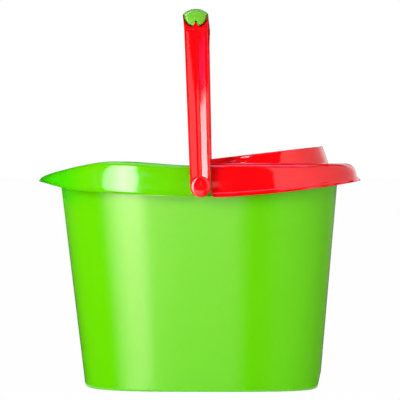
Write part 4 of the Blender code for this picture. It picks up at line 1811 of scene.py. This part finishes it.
@dataclass
class ReflectionTent:
    """What the gloss mirrors: a dark tent with lit walls, coloured cards and a lit floor."""

    bucket: BucketShell
    eye: Vector
    radius: float = 7.0
    tent_right: float = 100.0
    tent_left: float = -178.0
    tent_lines: int = 24
    tent_top: float = 0.02
    sunk: float = -0.01
    card_edge: float = -140.0
    card_lines: int = 6
    card_distance: float = 3.0
    card_height: float = 0.29
    floor_level: float = 0.0015
    floor_reach: float = 3.0
    floor_columns: int = 160
    floor_tint: Triple = (1.55, 0.92, 1.0)
    near_share: float = 0.60
    far_share: float = 1.85
    foot_height: float = 0.03
    probe: float = 0.01
    far_floor: Triple = (0.22, 0.22, 0.22)
    far_level: float = 0.001
    pools: tuple[Pair, ...] = (
        (-180.0, 0.05), (-140.0, 0.05), (-52.0, 0.0), (-20.5, 5.9), (-17.0, 5.8), (-9.0, 2.1),
        (1.0, 1.5), (4.5, 0.08), (7.0, 0.06), (20.0, 0.48), (70.0, 0.40), (115.0, 0.20),
        (180.0, 0.10))

    DARK = (0.012, 0.012, 0.012)
    RED_FLAG = (0.32, 0.012, 0.014)
    GREEN_CARD = (0.08, 0.52, 0.02)
    COOL = (0.30, 0.22, 1.30)
    SKY = (1.3, 1.4, 2.6)
    SHEETS = (
        Reflector.standing("key_wall", 0.0, 1.50, (
            (-0.775, -1.115, 5.4), (-0.700, -1.150, 8.5), (-0.600, -1.205, 11.5),
            (-0.493, -1.249, 17.0), (-0.400, -1.275, 14.5), (-0.322, -1.295, 11.5))),
        Reflector.standing("spill_wall", 0.05, 0.28, (
            (-0.318, -1.300, 1.6), (-0.215, -1.320, 1.1))),
        Reflector.standing("rib_wall", 0.245, 0.39, ((-0.022, -1.335, 2.0), (0.006, -1.335, 2.0))),
        Reflector.standing("cool_wall", 0.39, 0.58, (
            (-0.318, -1.300, COOL), (-0.215, -1.320, COOL))),
        Reflector.standing("side_wall", 0.0, 2.6, (
            (0.362, -1.497, 1.55), (0.560, -1.430, 1.60), (1.000, -1.150, 1.35),
            (1.450, -0.500, 1.15))),
        Reflector.standing("far_side_wall", 0.21, 2.6, (
            (1.450, -0.500, 1.15), (1.500, 0.500, 0.90), (1.100, 1.200, 0.75))),
        Reflector.standing("dark_flag", 0.33, 0.80, ((0.0, 3.0, RED_FLAG), (0.7, 3.0, RED_FLAG))),
        Reflector.standing("back_card", 0.0, 0.9, (
            (-0.95, 3.0, GREEN_CARD), (-0.25, 3.0, GREEN_CARD))),
        Reflector.lying("overhead", 1.9, (-0.8, -0.55), (0.8, 0.60), SKY),
        Reflector.lying("dark_roof", 2.2, (-3.2, 3.2), (3.2, 0.4), DARK),
    )

    def floor_light(self, bearing: float) -> float:
        """Light of the floor in a bearing, eased between the pools' edges.

        Args:
            bearing: degrees from the object, 0 towards the camera.

        Returns:
            The level of light.
        """
        for (left, near), (right, far) in zip(self.pools, self.pools[1:]):
            if left <= bearing <= right:
                return mix(near, far, ease((bearing - left) / (right - left)))
        return self.pools[-1][1]

    def tinted(self, level: float) -> Triple:
        """Light of a level in the tint that the bucket lends to the floor."""
        red, green, blue = self.floor_tint
        return level * red, level * green, level * blue

    def lit_floor(self) -> Reflector:
        """Floor whose lines run from the bucket's foot to where the camera sees it mirrored.

        Returns:
            The reflector.
        """
        columns = []
        for angle in plan_angles(self.floor_columns):
            start = self.bucket.wall_point(angle, self.foot_height)
            beyond = self.bucket.wall_point(angle, self.foot_height, self.probe)
            normal = (beyond - start).normalized()
            sight = Vector((start.x - self.eye.x, start.y - self.eye.y, 0.0)).normalized()
            away = normal if start.y > 0 else sight.reflect(normal)
            glow = self.floor_light(math.degrees(math.atan2(away.x, -away.y)))
            end = (start.x + self.floor_reach * away.x, start.y + self.floor_reach * away.y)
            columns.append(GlowColumn(
                (start.x, start.y, self.floor_level), (*end, self.floor_level),
                self.tinted(glow * self.near_share), self.tinted(glow * self.far_share)))
        return Reflector("lit_floor", tuple(columns + columns[:1]))

    def far_ring(self) -> Reflector:
        """Dim floor beyond the lit one.

        Returns:
            The reflector.
        """
        columns = []
        for bearing in spread(-180.0, 180.0, self.tent_lines):
            near, far = around(bearing, self.floor_reach), around(bearing, 2 * self.radius)
            columns.append(GlowColumn(
                (*near, self.far_level), (*far, self.far_level), self.far_floor, self.far_floor))
        return Reflector("far_floor", tuple(columns))

    def dark_tent(self) -> Reflector:
        """Dark cone round the studio, open at the back on the right.

        Returns:
            The reflector.
        """
        columns = []
        for bearing in spread(self.tent_left, self.tent_right, self.tent_lines):
            x, y = around(bearing, self.radius)
            top = (x * self.tent_top, y * self.tent_top, self.radius)
            columns.append(GlowColumn((x, y, self.sunk), top, self.DARK, self.DARK))
        return Reflector("dark_tent", tuple(columns))

    def green_card(self) -> Reflector:
        """Low card behind the pouring lip, in the bucket's own green.

        Returns:
            The reflector.
        """
        bearings = spread(self.tent_left, self.card_edge, self.card_lines)
        feet = [(*around(bearing, self.card_distance), self.GREEN_CARD) for bearing in bearings]
        return Reflector.standing("green_card", self.sunk, self.card_height, feet)

    def build(self) -> None:
        """Hang the tent and its reflectors."""
        material = bpy.data.materials.new("reflector_light")
        material.use_nodes = True
        board = NodeBoard(material.node_tree)
        glow = board.wire("ShaderNodeAttribute", {"attribute_name": "glow"}, None, "Color")
        lit = board.wire("ShaderNodeEmission", None, {"Color": glow, "Strength": 1.0})
        board.link(lit, material.node_tree.nodes["Material Output"].inputs["Surface"])
        made = (self.lit_floor(), self.far_ring(), self.dark_tent(), self.green_card())
        for sheet in (*made, *self.SHEETS):
            sheet.build(material)


@dataclass
class Studio:
    """White floor and background, soft boxes, reflectors and the camera."""

    bucket: BucketShell
    target: Vector = field(default_factory=lambda: Vector((0.0, 0.0, 0.2)))
    eye: Vector = field(default_factory=lambda: Vector((0.030, -2.300, 0.263)))
    aim: Vector = field(default_factory=lambda: Vector((0.00053, 0.0, 0.21812)))
    focal_pixels: float = 1938.0
    ambient: float = 0.22
    floor_size: float = 30.0
    floor_glow: float = 0.985
    floor_paint: Triple = (0.86, 0.86, 0.86)
    floor_roughness: float = 0.9
    sensor: float = 36.0
    boxes: tuple[SoftBox, ...] = (
        SoftBox("key_box", -32.0, 1.75, 0.50, 0.9, 0.96, 8.2),
        SoftBox("side_panel", 50.0, 1.85, 0.9, 1.6, 1.6, 0.80),
        SoftBox("left_fill", -100.0, 1.80, 0.7, 1.2, 1.4, 1.1),
        SoftBox("right_fill", 100.0, 1.80, 0.7, 1.2, 1.4, 1.3),
        SoftBox("top_box", 10.0, 0.35, 2.0, 1.6, 1.6, 0.9),
        SoftBox("back_fill", 180.0, 2.6, 1.5, 2.0, 1.6, 0.9),
    )

    WHITE = (1.0, 1.0, 1.0, 1.0)

    def build_camera(self) -> None:
        """Place the camera of the photograph."""
        lens = bpy.data.cameras.new("photo_camera")
        lens.sensor_width = self.sensor
        lens.sensor_fit = "HORIZONTAL"
        lens.lens = self.sensor * self.focal_pixels / IMAGE_SIZE
        item = bpy.data.objects.new("photo_camera", lens)
        item.location = self.eye
        item.rotation_euler = (self.aim - self.eye).to_track_quat("-Z", "Y").to_euler()
        bpy.context.scene.collection.objects.link(item)
        bpy.context.scene.camera = item

    def build_world(self) -> None:
        """White background for camera, mirror and glass rays, with a low even fill for the rest."""
        world = bpy.data.worlds.new("studio_white")
        world.use_nodes = True
        bpy.context.scene.world = world
        board = NodeBoard(world.node_tree)
        sky = world.node_tree.nodes["Background"]
        sky.inputs["Color"].default_value = self.WHITE
        strength = self.seen(board) * (1.0 - self.ambient) + self.ambient
        board.link(strength, sky.inputs["Strength"])

    @staticmethod
    def seen(board: NodeBoard) -> Wire:
        """Wire that is 1 for camera, mirror and glass rays and 0 for the rest.

        Args:
            board: tree that gets the nodes.

        Returns:
            The wire.
        """
        path = board.add("ShaderNodeLightPath")
        names = ("Is Camera Ray", "Is Glossy Ray", "Is Transmission Ray")
        camera, glossy, through = (Wire(board, path.outputs[name]) for name in names)
        return board.math("MAXIMUM", board.math("MAXIMUM", camera, glossy), through)

    def build_floor(self) -> None:
        """Plain white floor that keeps a faint shadow."""
        shape = bmesh.new()
        bmesh.ops.create_grid(shape, x_segments=2, y_segments=2, size=self.floor_size)
        floor = Workshop.draft("studio_floor", shape)
        material = bpy.data.materials.new("white_floor")
        material.use_nodes = True
        nodes = material.node_tree.nodes
        board = NodeBoard(material.node_tree)
        paint = nodes["Principled BSDF"]
        paint.inputs["Base Color"].default_value = (*self.floor_paint, 1.0)
        paint.inputs["Roughness"].default_value = self.floor_roughness
        paint.inputs["Specular IOR Level"].default_value = 0.0
        glow = board.wire("ShaderNodeEmission", None, {"Color": self.WHITE, "Strength": 1.0})
        blend = board.wire("ShaderNodeMixShader", None, {
            0: self.seen(board) * self.floor_glow, 1: Wire(board, paint.outputs["BSDF"]), 2: glow})
        board.link(blend, nodes["Material Output"].inputs["Surface"])
        floor.data.materials.append(material)

    def build(self) -> None:
        """Set up the whole studio."""
        bpy.context.scene.view_settings.view_transform = "Standard"
        self.build_camera()
        self.build_world()
        self.build_floor()
        ReflectionTent(self.bucket, self.eye).build()
        for box in self.boxes:
            box.build(self.target)


def main() -> None:
    """Build the studio and the pieces in order."""
    logging.basicConfig(level=logging.INFO, format="%(name)s: %(message)s")
    bucket = BucketShell()
    Studio(bucket).build()
    shop = Workshop()
    bail = BailHandle()
    for part in (bucket, Wringer(bucket), bail, HandleGrip(bail), PivotPins(bail)):
        part.build(shop)


if __name__ == "__main__":
    main()
